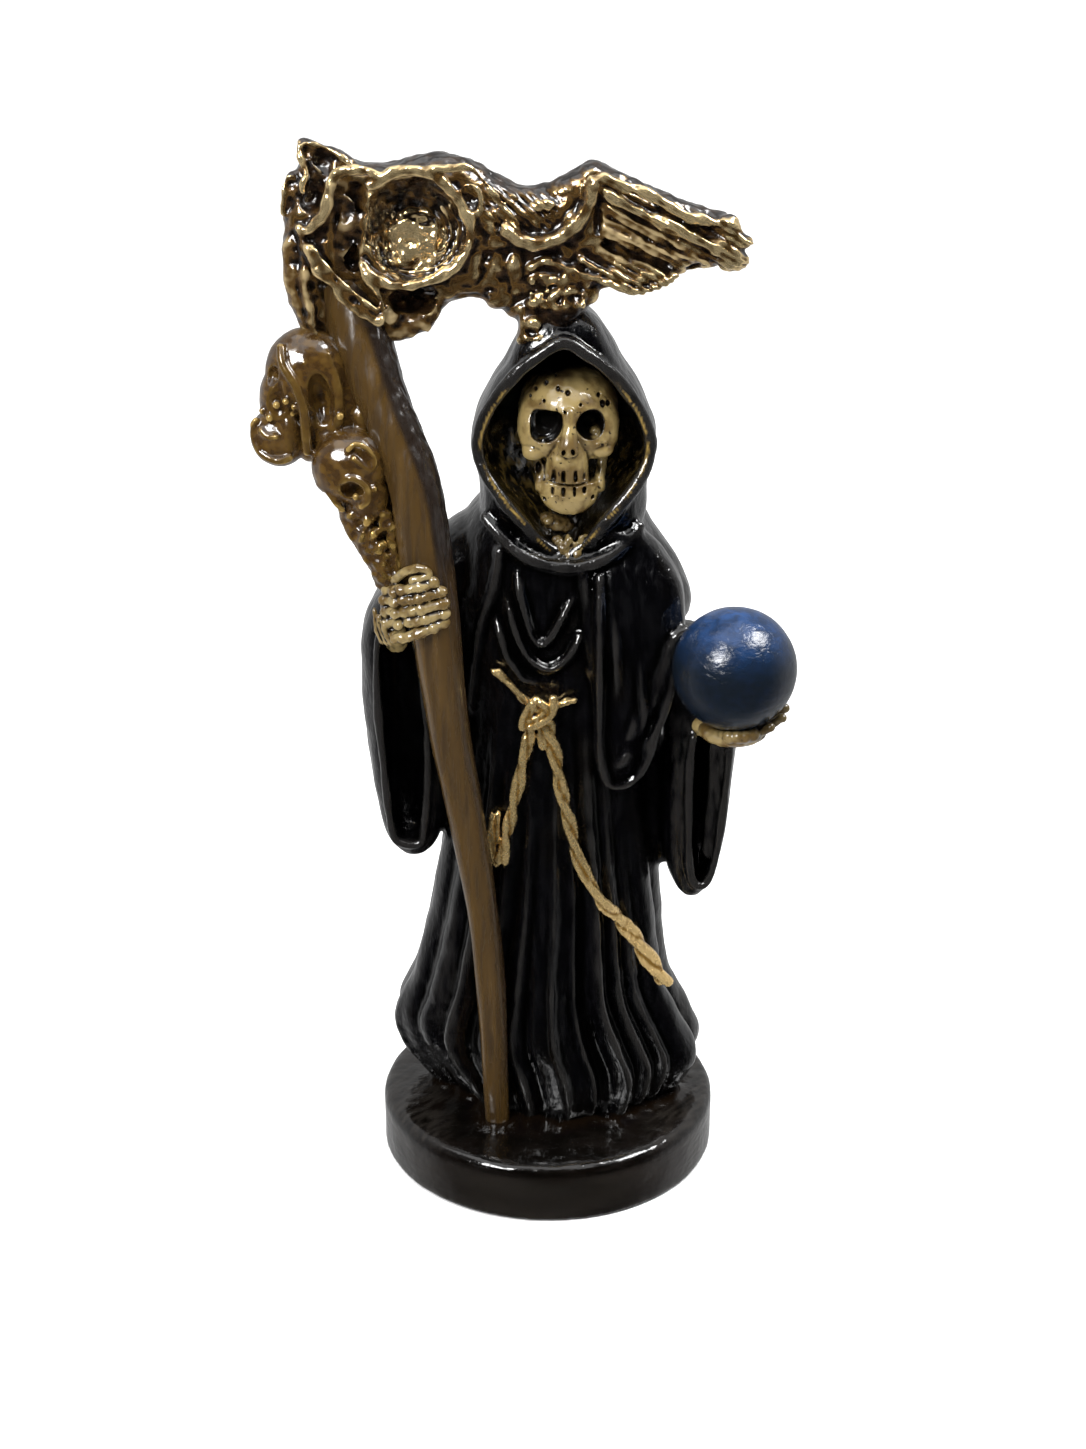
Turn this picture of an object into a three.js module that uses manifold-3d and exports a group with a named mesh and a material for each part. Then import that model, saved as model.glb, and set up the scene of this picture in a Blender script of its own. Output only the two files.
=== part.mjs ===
// A cast, painted skeleton in a hooded robe, holding a scythe and a loose ball, on a round plinth.
// Millimetres, +Z up, the viewer in front at -Y. The origin is the centre of the plinth's underside.

import * as THREE from 'three';
import { mergeVertices } from 'three/addons/utils/BufferGeometryUtils.js';
import Module from 'manifold-3d';

const wasm = await Module();
wasm.setup();

// Driving dimensions, millimetres
const FIGURE_HEIGHT = 204.4; // plinth top to the ear of the blade
const PLINTH_RADIUS = 36;
const PLINTH_HEIGHT = 13;
const PLINTH_TOP_ROUND = 2.2;
const PLINTH_FOOT_CHAMFER = 0.7;
const PLINTH_SIDES = 30;
const GLOBE_DIAMETER = 24.5;
const SEAT_GAP = 0.3; // around the loose ball where the hand carries it

// The figure is one free form: its places and sizes are shares, hundredths of its height
const SHARE = FIGURE_HEIGHT / 100;
const ROOT_DEPTH = 0.4; // how far the hem and the staff run into the plinth
const WAIST = 46.5;
const FACE_X = 1.8; // the head stands a little right of the plinth's centre
const HOOD_X = 1.47;
const TOOTH_WIDTH = 1.2;
const GROOVE_DEPTH = 5; // times the half width of the lines cut between the teeth
const ROBE_SQUARE = 2.3; // 2 is an oval section, and more is squarer
const RING_CROWDING = 1.8; // above 1, an upright form has its rings closer at the foot

// Levels of the robe: height, left, right, front, back
const ROBE_LEVELS = [
  [-ROOT_DEPTH, -13.3, 13.6, -7.4, 13.6],
  [1.6, -14.6, 14.6, -7.9, 14.2],
  [5, -15.3, 14.9, -7.9, 14.1],
  [8.5, -15, 13.7, -7.7, 13.6],
  [13.2, -13.3, 11.6, -7.5, 12.5],
  [18, -12.2, 11, -7.4, 11.5],
  [23, -11.3, 10.8, -7.2, 10.8],
  [30, -10.3, 10.3, -7.1, 9.8],
  [38, -9.6, 9.9, -6.9, 9.2],
  [WAIST, -9.4, 10, -6.8, 8.8],
  [52, -10.4, 11.8, -7.1, 8.8],
  [57, -10.8, 12.6, -7.1, 8.8],
  [61, -10.1, 11.8, -6.9, 8.6],
  [64.6, -8.4, 10.2, -6.4, 8.1],
  [67, -5.5, 8, -5.2, 7.3],
];

// Folds of the skirt: angle at the hem and at the waist (degrees, -90 is the front), width, height
const FRONT_FOLDS = [
  { hem: -158, waist: -146, width: 9, height: 1.15 },
  { hem: -134, waist: -126, width: 8, height: 0.95 },
  { hem: -113, waist: -110, width: 6, height: 0.6 },
  { hem: -98, waist: -98, width: 4.5, height: 0.75 },
  { hem: -83, waist: -87, width: 5, height: 1.05 },
  { hem: -67, waist: -76, width: 4.5, height: 0.7 },
  { hem: -55, waist: -66, width: 5, height: 0.8 },
  { hem: -31, waist: -46, width: 9, height: 1.35 },
  { hem: -4, waist: -18, width: 10, height: 1.1 },
];
const FRONT_CROWDING = 0.4; // gathers the robe's facets to its front, where its folds are fullest
const BACK_FOLDS = { from: 22, to: 172, count: 6, width: 9, height: 0.7 };

// Levels of the hood: height, half width, front, back
const HOOD_LEVELS = [
  [60.5, 6.6, -5.2, 7.8],
  [65.1, 8.0, -6.3, 8.3],
  [68, 8.1, -6.4, 8.6],
  [70, 8.6, -6.3, 8.6],
  [72.4, 8.9, -6, 8.6],
  [74.9, 8.3, -5.7, 8.3],
  [77.3, 7.3, -5.4, 7.8],
  [79.7, 6, -5, 7.1],
  [81.7, 4.9, -4.6, 6.1],
  [83.7, 3.2, -3.9, 4.4],
  [85.1, 1.6, -2.4, 2.4],
];
// The hollow of the hood, from its pointed foot to its crown: height, half width
const HOOD_HOLLOW = [[61.9, 0.5], [63, 1.9], [65.1, 3.6], [67.5, 5.6], [70, 7.3], [72.4, 7.9],
  [74.9, 7.4], [77.3, 6.3], [79.5, 4.6], [81.2, 2.4], [82.1, 0.5]];
const HOLLOW_BACK = 2.6;
const HOOD_SQUARE = 4.5; // how nearly flat the hood's front is from cheek to cheek
const RIM_RADIUS = 0.62;

// Hanging sleeves: levels of each (height, left, right) and of the mouth cut into its front
const LEFT_SLEEVE = {
  levels: [[29.2, -15, -12.2], [30.2, -16.2, -11.2], [32.7, -17, -10.4], [36, -17.7, -9.9],
    [41, -18.2, -9.5], [46, -18.6, -9], [52, -18.5, -8.6], [55, -17.7, -8.6], [57.5, -16, -8.6]],
  mouth: [[31, -14.6, -13], [32.3, -15.7, -12.5], [39.6, -16.4, -12], [46, -16.8, -12.2],
    [52.4, -16.7, -12.9], [54, -16, -13.6]],
  front: -5.4, back: 3.6, mouthBack: -1.4,
};
const RIGHT_SLEEVE = {
  levels: [[24.8, 13.6, 15.6], [25.6, 12.8, 16.4], [28.3, 12, 17.2], [33.6, 11.6, 17.9],
    [40.2, 11.5, 18.4], [44.5, 11.2, 18.7], [48.5, 10.6, 17.6], [52, 9.6, 15.4]],
  mouth: [[26.8, 14.9, 15.9], [28.6, 14.3, 16.4], [33.6, 14.1, 17], [40, 14.1, 17.5],
    [43.4, 14.4, 17.6]],
  front: -6.2, back: 3.4, mouthBack: -2,
};
// The front fall of the mantle over the left arm: height, left, right
const DRAPE_LEVELS = [[38, 6.2, 7.8], [39, 5.3, 9.1], [41.2, 4.9, 10.1], [45, 4.8, 11.1],
  [50, 4.8, 12.4], [55, 4.6, 13.4], [59, 4.4, 12.8], [62, 4.2, 11], [64, 4.4, 9]];

// The staff: x, y, height, half width
const STAFF = [[-5.3, -8.2, -ROOT_DEPTH, 1.25], [-5.8, -8.4, 15.3, 1.55], [-6.7, -8.4, 25.2, 1.62],
  [-8.1, -8.3, 35, 1.83], [-9.4, -8.3, 42.7, 2], [-10.3, -8.4, 50, 2.2], [-11.1, -8.2, 58, 2.5],
  [-12.4, -7.3, 68.2, 2.5], [-14.1, -6.4, 73.3, 2.45], [-15.5, -5.4, 76.7, 2.45],
  [-17.3, -3.9, 81.6, 2.85], [-19, -2.4, 87, 2.6]];

// The blade's beam, from its left end to its right tip: x, low, high, front, back
const BLADE_LEVELS = [
  [-24, 90, 95, -3, 0.6], [-23.2, 87, 97, -3.6, 1.4], [-21, 86.6, 98, -4, 1.9],
  [-18.6, 86.2, 98.4, -4.2, 2.1], [-16, 84.2, 98.1, -4.5, 2.2], [-13.6, 83.4, 98.4, -4.6, 2.2],
  [-11, 84.4, 99, -4.6, 2.2], [-8, 85.8, 98.8, -4.5, 2], [-5, 85.4, 97.1, -4.2, 1.8],
  [-2.4, 84.8, 96, -3.9, 1.6], [0, 84.2, 96.3, -3.8, 1.5], [2, 84.9, 97.4, -3.9, 1.5],
  [3.9, 86.2, 98.3, -4, 1.5], [6.2, 86.8, 97.6, -3.9, 1.3], [9.6, 87, 96, -3.6, 1],
  [13.2, 88.3, 94.6, -3.3, 0.6], [16.6, 88.9, 93.6, -3, 0.2],
];
const BOWL = { x: -12.2, z: 92.7, radiusX: 5, radiusZ: 5.2, rim: 0.62, depth: 3.3, front: -4.6 };

// The ball rests in the left hand; the palm is its lowest point of contact
const PALM = { x: 17.9, y: -9.8, z: 45.4 };

const TURN = 2 * Math.PI;
const DEGREE = Math.PI / 180;
const MERGE = 1e-5;

const clamp = (value, low, high) => Math.min(high, Math.max(low, value));
const place = (x, y, z) => new THREE.Vector3(x * SHARE, y * SHARE, PLINTH_HEIGHT + z * SHARE);

// Reads a table of levels at a height, on a smooth curve through its rows
function levelAt(rows, height) {
  let i = 0;
  while (i < rows.length - 2 && height > rows[i + 1][0]) i += 1;
  const [a, b] = [rows[i], rows[i + 1]];
  const [before, after] = [rows[Math.max(0, i - 1)], rows[Math.min(rows.length - 1, i + 2)]];
  const span = b[0] - a[0];
  const t = clamp((height - a[0]) / span, 0, 1);
  return a.map((value, k) => {
    const slopeA = ((b[k] - before[k]) / (b[0] - before[0])) * span;
    const slopeB = ((after[k] - value) / (after[0] - a[0])) * span;
    const t2 = t * t;
    const t3 = t2 * t;
    return (2 * t3 - 3 * t2 + 1) * value + (t3 - 2 * t2 + t) * slopeA
      + (3 * t2 - 2 * t3) * b[k] + (t3 - t2) * slopeB;
  });
}

// Turns a closed geometry into a solid that can be joined and cut
function solid(geometry) {
  geometry.deleteAttribute('normal');
  geometry.deleteAttribute('uv');
  const merged = mergeVertices(geometry, MERGE);
  return new wasm.Manifold(new wasm.Mesh({
    numProp: 3,
    vertProperties: new Float32Array(merged.attributes.position.array),
    triVerts: new Uint32Array(merged.index.array),
  }));
}

// A closed skin: skinPoint(angle, t) is its wall from t = 0 to t = 1, and each end closes flat
function skin(sides, steps, skinPoint) {
  const geometry = new THREE.CylinderGeometry(1, 1, 1, sides, steps);
  geometry.deleteAttribute('normal');
  geometry.deleteAttribute('uv');
  const merged = mergeVertices(geometry, MERGE);
  const { position } = merged.attributes;
  for (let i = 0; i < position.count; i += 1) {
    const [x, y, z] = [position.getX(i), position.getY(i), position.getZ(i)];
    const t = y + 0.5;
    const point = new THREE.Vector3();
    if (Math.hypot(x, z) > 0.5) {
      point.copy(skinPoint(Math.atan2(-z, x), t));
    } else {
      for (let k = 0; k < sides; k += 1) point.add(skinPoint((k / sides) * TURN, t));
      point.divideScalar(sides);
    }
    position.setXYZ(i, point.x, point.y, point.z);
  }
  return solid(merged);
}

// A unit direction pushed towards a rounded box as power grows
function superDirection(angle, power) {
  const [c, s] = [Math.cos(angle), Math.sin(angle)];
  const radius = (Math.abs(c) ** power + Math.abs(s) ** power) ** (-1 / power);
  return [c * radius, s * radius];
}

// An upright form from a table of levels: height, left, right, front, back. Its rings crowd towards
// the foot, where the sleeves, the mantle's fall and the jaw turn under.
function upright(rows, sides, steps, power) {
  const [low, high] = [rows[0][0], rows[rows.length - 1][0]];
  return skin(sides, steps, (angle, t) => {
    const [height, left, right, front, back] = levelAt(rows, low + t ** RING_CROWDING * (high - low));
    const [c, s] = superDirection(angle, power);
    return place(
      (left + right) / 2 + (c * (right - left)) / 2,
      (front + back) / 2 + (s * (back - front)) / 2,
      height,
    );
  });
}

// A tapered limb along a smooth line of [x, y, z, half width]; depth thickens or thins it along y,
// and blunt is what its ends keep of its width
function limb(points, sides, steps, depth = 1, blunt = 0.5) {
  const curve = new THREE.CatmullRomCurve3(points.map(([x, y, z]) => place(x, y, z)));
  const facing = new THREE.Vector3(0, 1, 0);
  const last = points.length - 1;
  return skin(sides, steps, (angle, t) => {
    const i = Math.min(last - 1, Math.floor(t * last));
    const radius = THREE.MathUtils.lerp(points[i][3], points[i + 1][3], t * last - i) * SHARE;
    const round = t === 0 || t === 1 ? blunt : 1;
    const along = curve.getTangent(clamp(t, 0.001, 0.999)).normalize();
    const across = facing.clone().cross(along).normalize();
    const up = along.clone().cross(across);
    return curve.getPoint(t)
      .addScaledVector(across, Math.cos(angle) * radius * round)
      .addScaledVector(up, Math.sin(angle) * radius * round * depth);
  });
}

// A ball or egg given by its centre and its half sizes, with its poles up or towards the viewer
function egg([x, y, z], [rx, ry, rz], columns, rows, poles = 'up') {
  const geometry = new THREE.SphereGeometry(1, columns, rows);
  if (poles === 'up') geometry.rotateX(Math.PI / 2);
  geometry.scale(rx * SHARE, ry * SHARE, rz * SHARE);
  const centre = place(x, y, z);
  geometry.translate(centre.x, centre.y, centre.z);
  return solid(geometry);
}

// A round cord bent into a closed loop that faces the viewer
function loop(points, radius, steps, sides = 6) {
  const curve = new THREE.CatmullRomCurve3(points.map(([x, y, z]) => place(x, y, z)), true);
  const geometry = new THREE.TorusGeometry(1, 0.1, sides, steps);
  geometry.deleteAttribute('normal');
  geometry.deleteAttribute('uv');
  const merged = mergeVertices(geometry, MERGE);
  const { position } = merged.attributes;
  const facing = new THREE.Vector3(0, -1, 0);
  for (let i = 0; i < position.count; i += 1) {
    const [x, y, z] = [position.getX(i), position.getY(i), position.getZ(i)];
    const u = (Math.atan2(y, x) / TURN + 1) % 1;
    const out = curve.getTangent(u).normalize().cross(facing).normalize();
    const point = curve.getPoint(u)
      .addScaledVector(out, (Math.hypot(x, y) - 1) * 10 * radius * SHARE)
      .addScaledVector(facing, z * 10 * radius * SHARE);
    position.setXYZ(i, point.x, point.y, point.z);
  }
  return solid(merged);
}

const join = (solids) => solids.reduce((sum, piece) => sum.add(piece));
const gauss = (value) => Math.exp(-value * value);

// Height of the skirt's folds over the plain skirt
function foldHeight(angle, height) {
  const fall = clamp((WAIST - height) / WAIST, 0, 1);
  const degrees = angle / DEGREE;
  const strength = Math.sin((fall * Math.PI) / 2) * (0.55 + 0.45 * clamp(height / 5, 0, 1));
  const ripple = (centre, width, rise) => {
    const offset = ((degrees - centre + 540) % 360) - 180;
    return rise * gauss(offset / width);
  };
  let lift = 0;
  for (const fold of FRONT_FOLDS) {
    const centre = THREE.MathUtils.lerp(fold.hem, fold.waist, clamp(height / WAIST, 0, 1));
    lift += ripple(centre, fold.width, fold.height);
  }
  for (let k = 0; k < BACK_FOLDS.count; k += 1) {
    const centre = THREE.MathUtils.lerp(BACK_FOLDS.from, BACK_FOLDS.to, k / (BACK_FOLDS.count - 1));
    lift += ripple(centre, BACK_FOLDS.width, BACK_FOLDS.height);
  }
  return lift * strength;
}

function robePoint(angle, height) {
  const [, left, right, front, back] = levelAt(ROBE_LEVELS, height);
  const [c, s] = superDirection(angle, ROBE_SQUARE);
  const lift = foldHeight(angle, height);
  return [
    (left + right) / 2 + (c * (right - left)) / 2 + Math.cos(angle) * lift,
    (front + back) / 2 + (s * (back - front)) / 2 + Math.sin(angle) * lift,
  ];
}

// The depth of the robe's front at a place seen from the front
function robeFront(x, height) {
  let [low, high] = [-Math.PI, 0];
  for (let k = 0; k < 24; k += 1) {
    const middle = (low + high) / 2;
    if (robePoint(middle, height)[0] < x) low = middle;
    else high = middle;
  }
  return robePoint((low + high) / 2, height)[1];
}

function makePlinth() {
  const profile = [[0, 0], [PLINTH_RADIUS - PLINTH_FOOT_CHAMFER, 0], [PLINTH_RADIUS, PLINTH_FOOT_CHAMFER]];
  const arcSteps = 2;
  for (let k = 0; k <= arcSteps; k += 1) {
    const turn = (k / arcSteps) * (Math.PI / 2);
    profile.push([
      PLINTH_RADIUS - PLINTH_TOP_ROUND * (1 - Math.cos(turn)),
      PLINTH_HEIGHT - PLINTH_TOP_ROUND * (1 - Math.sin(turn)),
    ]);
  }
  profile.push([0, PLINTH_HEIGHT]);
  const geometry = new THREE.LatheGeometry(profile.map(([r, z]) => new THREE.Vector2(r, z)), PLINTH_SIDES);
  geometry.rotateX(Math.PI / 2);
  return solid(geometry);
}

function makeRobe() {
  const high = ROBE_LEVELS[ROBE_LEVELS.length - 1][0];
  return skin(40, 10, (angle, t) => {
    const height = THREE.MathUtils.lerp(-ROOT_DEPTH, high, t ** 1.2);
    const [x, y] = robePoint(angle - FRONT_CROWDING * Math.cos(angle), height);
    return place(x, y, height);
  });
}

function makeHood() {
  const [low, high] = [HOOD_LEVELS[0][0], HOOD_LEVELS[HOOD_LEVELS.length - 1][0]];
  return skin(14, 7, (angle, t) => {
    const [height, half, front, back] = levelAt(HOOD_LEVELS, THREE.MathUtils.lerp(low, high, t));
    const [c, s] = superDirection(angle, Math.sin(angle) < 0 ? HOOD_SQUARE : 2.1);
    return place(HOOD_X + c * half, (front + back) / 2 + (s * (back - front)) / 2, height);
  });
}

function makeHoodHollow() {
  const [low, high] = [HOOD_HOLLOW[0][0], HOOD_HOLLOW[HOOD_HOLLOW.length - 1][0]];
  const front = -10;
  return skin(10, 6, (angle, t) => {
    const [height, half] = levelAt(HOOD_HOLLOW, THREE.MathUtils.lerp(low, high, t));
    const [c, s] = superDirection(angle, Math.sin(angle) < 0 ? 6 : 2);
    return place(HOOD_X + c * half, (front + HOLLOW_BACK) / 2 + (s * (HOLLOW_BACK - front)) / 2, height);
  });
}

// The depth of the hood's front at a place seen from the front
function hoodFront(x, height) {
  const [, half, front, back] = levelAt(HOOD_LEVELS, height);
  const share = Math.min(1, Math.abs((x - HOOD_X) / half)) ** HOOD_SQUARE;
  return (front + back) / 2 - ((1 - share) ** (1 / HOOD_SQUARE) * (back - front)) / 2;
}

function makeHoodRim() {
  const side = (sign) => HOOD_HOLLOW.slice(1, -1)
    .map(([height, half]) => [HOOD_X + sign * (half + RIM_RADIUS / 2), height]);
  const [foot, crown] = [HOOD_HOLLOW[0][0], HOOD_HOLLOW[HOOD_HOLLOW.length - 1][0]];
  const outline = [
    [HOOD_X, foot - RIM_RADIUS / 2], ...side(1), [HOOD_X, crown + RIM_RADIUS / 2], ...side(-1).reverse(),
  ];
  return loop(outline.map(([x, z]) => [x, hoodFront(x, z) - 0.2, z]), RIM_RADIUS, 16, 4);
}

function makeCollar() {
  const fall = [[-6.6, 65.6], [-5, 64], [-2.7, 62], [1.1, 60.9], [4.9, 61.4], [7.6, 63.2], [8.8, 65]];
  const onChest = ([x, z]) => [x, robeFront(x, Math.min(z, 64)) - 0.1 + (z - 61) * 0.12, z, 0.9];
  return limb(fall.map(onChest), 4, 6);
}

// Curved folds of the inner robe, hanging across the chest
function makeChestFolds() {
  const folds = [
    [[-3.2, 60], [-2.3, 56.4], [-0.9, 53], [0.6, 52.7], [1.9, 55], [3.2, 59.4]],
    [[-4.4, 59.4], [-3.8, 55.6], [-2.2, 52.2], [0.3, 50.4], [2.4, 51.8], [3.9, 56]],
    [[-5.3, 55.6], [-4.4, 52.6], [-2.9, 50.2], [-0.1, 48.9], [2.3, 50.2], [4, 53.6]],
  ];
  const onChest = ([x, z]) => [x, robeFront(x, z), z, 0.6];
  return join(folds.map((fold) => limb(fold.map(onChest), 3, 4)));
}

// The mantle's left front edge, which falls behind the staff
function makeMantleEdge() {
  const edge = [[-4.9, 61.4], [-5.7, 57.4], [-6.8, 51.5], [-7.6, 44]];
  return limb(edge.map(([x, z]) => [x - 0.5, robeFront(x, z) + 0.2, z, 0.8]), 3, 3);
}

function makeSleeve({ levels, front, back }) {
  const rows = levels.map(([z, left, right], i) => {
    const inset = i === 0 ? 1.6 : 0;
    return [z, left, right, front + inset * 0.4, back - inset];
  });
  return upright(rows, 12, 6, 2.8);
}

function makeSleeveMouth({ mouth, front, mouthBack }) {
  return upright(mouth.map(([z, left, right]) => [z, left, right, front - 3, mouthBack]), 8, 4, 3);
}

function makeArms() {
  return join([
    limb([[-4, 1.5, 63.5, 3.4], [-9.8, 0.6, 59.2, 4], [-13.8, -0.6, 54, 3.9]], 8, 3, 1.4),
    limb([[5.8, 1.5, 64, 3.2], [9.6, 0.6, 58.8, 4], [12.2, -1, 52, 4]], 8, 3, 1.4),
    limb([[11.2, 0.8, 40, 2.6], [11, 0.9, 32, 2.7], [11.1, 1, 25.4, 1.7]], 7, 3, 1.3),
  ]);
}

function makeDrape() {
  const rows = DRAPE_LEVELS.map(([z, left, right]) => [z, left, right, -8.1, -2.4]);
  const hem = [[4.9, 60], [5, 50], [5.1, 42], [5.8, 39], [6.8, 38.3], [8.6, 39.1], [9.8, 41.2],
    [11, 45.6], [12.2, 50.6]];
  const rim = limb(hem.map(([x, z]) => [x, -7.3, z, 0.55]), 3, 6, 1.5);
  return upright(rows, 10, 5, 3.2).add(rim);
}

function makeSkull() {
  const jawLevels = [[65.7, 1.2], [66.4, 2.4], [67.6, 3.1], [69.4, 3.2], [70.8, 3.4], [72.4, 3.8]];
  const jawRows = jawLevels.map(([z, half]) => [z, FACE_X - half, FACE_X + half, -6.7, 0.5]);
  const jaw = upright(jawRows, 10, 5, 2.3);
  const cranium = egg([FACE_X, -1, 75.1], [4.9, 5.5, 4.6], 10, 7);
  const nose = limb([[FACE_X - 0.1, -5.6, 75.8, 0.8], [FACE_X - 0.1, -6.9, 73, 0.6]], 4, 1);
  const cheeks = [-1, 1].map((side) => egg([FACE_X + side * 3.2, -4.6, 72], [1.5, 1.9, 1.3], 6, 4));
  const sockets = [egg([-0.25, -6.7, 74.4], [1.6, 2.6, 1.6], 7, 4, 'front'),
    egg([4.05, -6.7, 74.4], [1.45, 2.6, 1.5], 7, 4, 'front')];
  const nostrils = egg([FACE_X - 0.05, -7.1, 72.1], [0.75, 1.1, 0.6], 5, 3);
  const groove = (points, steps) => limb(points, 4, steps, GROOVE_DEPTH, 1);
  const grooves = [groove([[-0.6, -6.7, 68.6, 0.14], [1.9, -7.1, 68.5, 0.14], [4.4, -6.7, 68.6, 0.14]], 2)];
  for (let k = -1; k <= 1; k += 1) {
    const x = FACE_X + k * TOOTH_WIDTH;
    grooves.push(groove([[x, -7, 67.6, 0.12], [x, -7, 69.9, 0.12]], 1));
  }
  return join([jaw, cranium, nose, ...cheeks]).subtract(join([...sockets, nostrils, ...grooves]));
}

function makeNeck() {
  return join([
    egg([0.9, -4.2, 64.6], [1.9, 1.7, 0.9], 6, 4),
    limb([[1.9, -4.4, 63.6, 1.3], [2, -5.6, 61.4, 0.6]], 4, 1),
    limb([[FACE_X, -1.6, 67, 1.6], [FACE_X, -2.4, 61.5, 1.6]], 6, 1),
  ]);
}

function makeStaff() {
  return limb(STAFF, 8, 11, 0.95, 1);
}

function makeStaffSkulls() {
  const upper = join([
    egg([-23.1, -4, 78], [3.9, 3.3, 5.3], 8, 6),
    egg([-25.6, -4.2, 73.2], [2.7, 2.5, 3.1], 7, 4),
    limb([[-19.6, -4.2, 79.5, 1.6], [-20.4, -4.6, 73.5, 1.8], [-22.2, -4.6, 70.6, 1]], 5, 2),
  ]).subtract(join([
    egg([-25.4, -7.3, 78.3], [1.3, 1.9, 2], 6, 3, 'front'),
    egg([-21.2, -7.6, 75.8], [0.9, 1.9, 2.3], 5, 3, 'front'),
    egg([-26.4, -7, 72.6], [1.7, 1.4, 0.7], 5, 3, 'front'),
  ]));
  const lower = egg([-18.5, -6.6, 70.6], [3.6, 3.2, 3.8], 8, 5)
    .add(egg([-19.4, -6.6, 67.6], [2.2, 2.4, 2.1], 6, 4))
    .subtract(egg([-18.5, -9.8, 69.2], [1.2, 1.6, 1.3], 6, 3, 'front'));
  const tailLine = [[-18.9, -6.8, 67.2, 2.4], [-17.6, -7.2, 64.4, 2.1], [-16.4, -7.5, 61.6, 1.9],
    [-15.3, -7.9, 58.4, 1.4]];
  const tail = limb(tailLine, 6, 3);
  return join([upper, lower, tail]);
}

function makeRightHand() {
  const fingers = [
    [[-14.3, 60.2], [-11.3, 61.9]], [[-14.8, 58.9], [-10.5, 60.5]], [[-15.3, 57.5], [-10, 59.4]],
    [[-15.3, 56.1], [-9.8, 58.1]], [[-14.6, 54.9], [-9.9, 56.8]],
  ].map(([[x0, z0], [x1, z1]]) => {
    const knuckle = [x0 * 0.6 + x1 * 0.4, -10.9, z0 * 0.55 + z1 * 0.45, 0.78];
    return limb([[x0, -8.4, z0, 0.8], knuckle, [x1, -10.7, z1, 0.72]], 4, 2);
  });
  const palmLine = [[-15.2, -7.6, 59.6, 1.1], [-15.4, -7.8, 56.6, 1.4], [-15, -7.2, 53.4, 1.2],
    [-14.8, -3.4, 50.5, 1.2]];
  return join([limb(palmLine, 5, 4), ...fingers]);
}

function makeBlade() {
  const high = BLADE_LEVELS.length - 1;
  const [left, right] = [BLADE_LEVELS[0][0], BLADE_LEVELS[high][0]];
  const beam = skin(8, 15, (angle, t) => {
    const [x, low, top, front, back] = levelAt(BLADE_LEVELS, THREE.MathUtils.lerp(left, right, t));
    const [c, s] = superDirection(angle, 2.7);
    return place(x, (front + back) / 2 + (c * (back - front)) / 2, (low + top) / 2 + (s * (top - low)) / 2);
  });
  const rimSteps = 10;
  const [rimX, rimZ] = [BOWL.radiusX + BOWL.rim / 2, BOWL.radiusZ + BOWL.rim / 2];
  const rimPoints = Array.from({ length: rimSteps }, (_, k) => {
    const turn = -(k / rimSteps) * TURN;
    return [BOWL.x + rimX * Math.cos(turn), BOWL.front + 0.2, BOWL.z + rimZ * Math.sin(turn)];
  });
  const ear = limb([[-18.2, -1.4, 96.2, 2.6], [-20.4, -1.6, 98, 2], [-22.1, -1.9, 99.8, 0.5]], 6, 3, 0.8);
  const lobeLine = [[-22.9, -1.6, 96.6, 1.3], [-23, -1.9, 91.5, 1.9], [-22.3, -2.2, 86.4, 1.9],
    [-20.7, -2.6, 81, 1.1]];
  const leftLobe = limb(lobeLine, 6, 4, 1.3);
  const wingFingers = [
    [[4, 97.9], [8.6, 95.7], [14.2, 94.1], [17.2, 93.8]],
    [[3.8, 96.8], [8.6, 94.3], [14, 92.6], [19.1, 91.1]],
    [[3.6, 95.2], [8.5, 92.6], [14, 91.2], [18.7, 89.9]],
    [[3.3, 93.2], [8.4, 91], [13.2, 89.7], [17.9, 88.7]],
    [[2.8, 91.2], [6, 89.2], [9.6, 88.2], [13, 88.6]],
  ].map((line) => limb(line.map(([x, z], i) => [x, -3.5 + i * 0.35, z, 1.05 - i * 0.1]), 3, 2));
  const ridge = (line, y, radius, steps) => limb(line.map(([x, z]) => [x, y, z, radius]), 3, steps);
  const ridges = [
    ridge([[-13.5, 98], [-16, 97.5], [-17.5, 96], [-18.2, 94], [-19.4, 92.7], [-21.8, 92.3]], -4, 0.75, 5),
    ridge([[-21.9, 91.6], [-20.1, 89.6], [-18.2, 87.3], [-16.1, 85], [-13.8, 83.6]], -4, 0.8, 4),
    ridge([[-4.6, 96], [-4, 93.8], [-2, 92.2], [0.2, 93.4], [2.5, 96.8]], -3.6, 0.8, 4),
  ];
  const lumps = [
    egg([-11.2, -2.6, 84.3], [1.6, 1.7, 1.3], 6, 4), egg([-13.2, -2.6, 84], [1.6, 1.6, 1.6], 6, 4),
    egg([-1.4, -1.8, 85], [3, 2.1, 1.5], 6, 3),
  ];
  const cuts = [
    egg([BOWL.x, BOWL.front - 0.1, BOWL.z], [BOWL.radiusX, BOWL.depth, BOWL.radiusZ], 10, 6, 'front'),
    egg([-19.6, -5, 95.3], [1.5, 2.2, 1.8], 6, 3), egg([-11.8, -5, 85.4], [1.6, 1.9, 1.1], 6, 3),
    egg([-16.4, -5.2, 92.2], [1, 1.7, 2.6], 5, 4),
  ];
  const discCentre = [BOWL.x - 0.1, BOWL.front + BOWL.depth - 0.2, BOWL.z - 1.4];
  const disc = egg(discCentre, [2.3, 0.9, 2.3], 6, 4, 'front');
  return join([beam, ear, leftLobe, ...wingFingers, ...lumps])
    .subtract(join(cuts))
    .add(join([...ridges, loop(rimPoints, BOWL.rim, rimSteps, 4), disc]));
}

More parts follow.
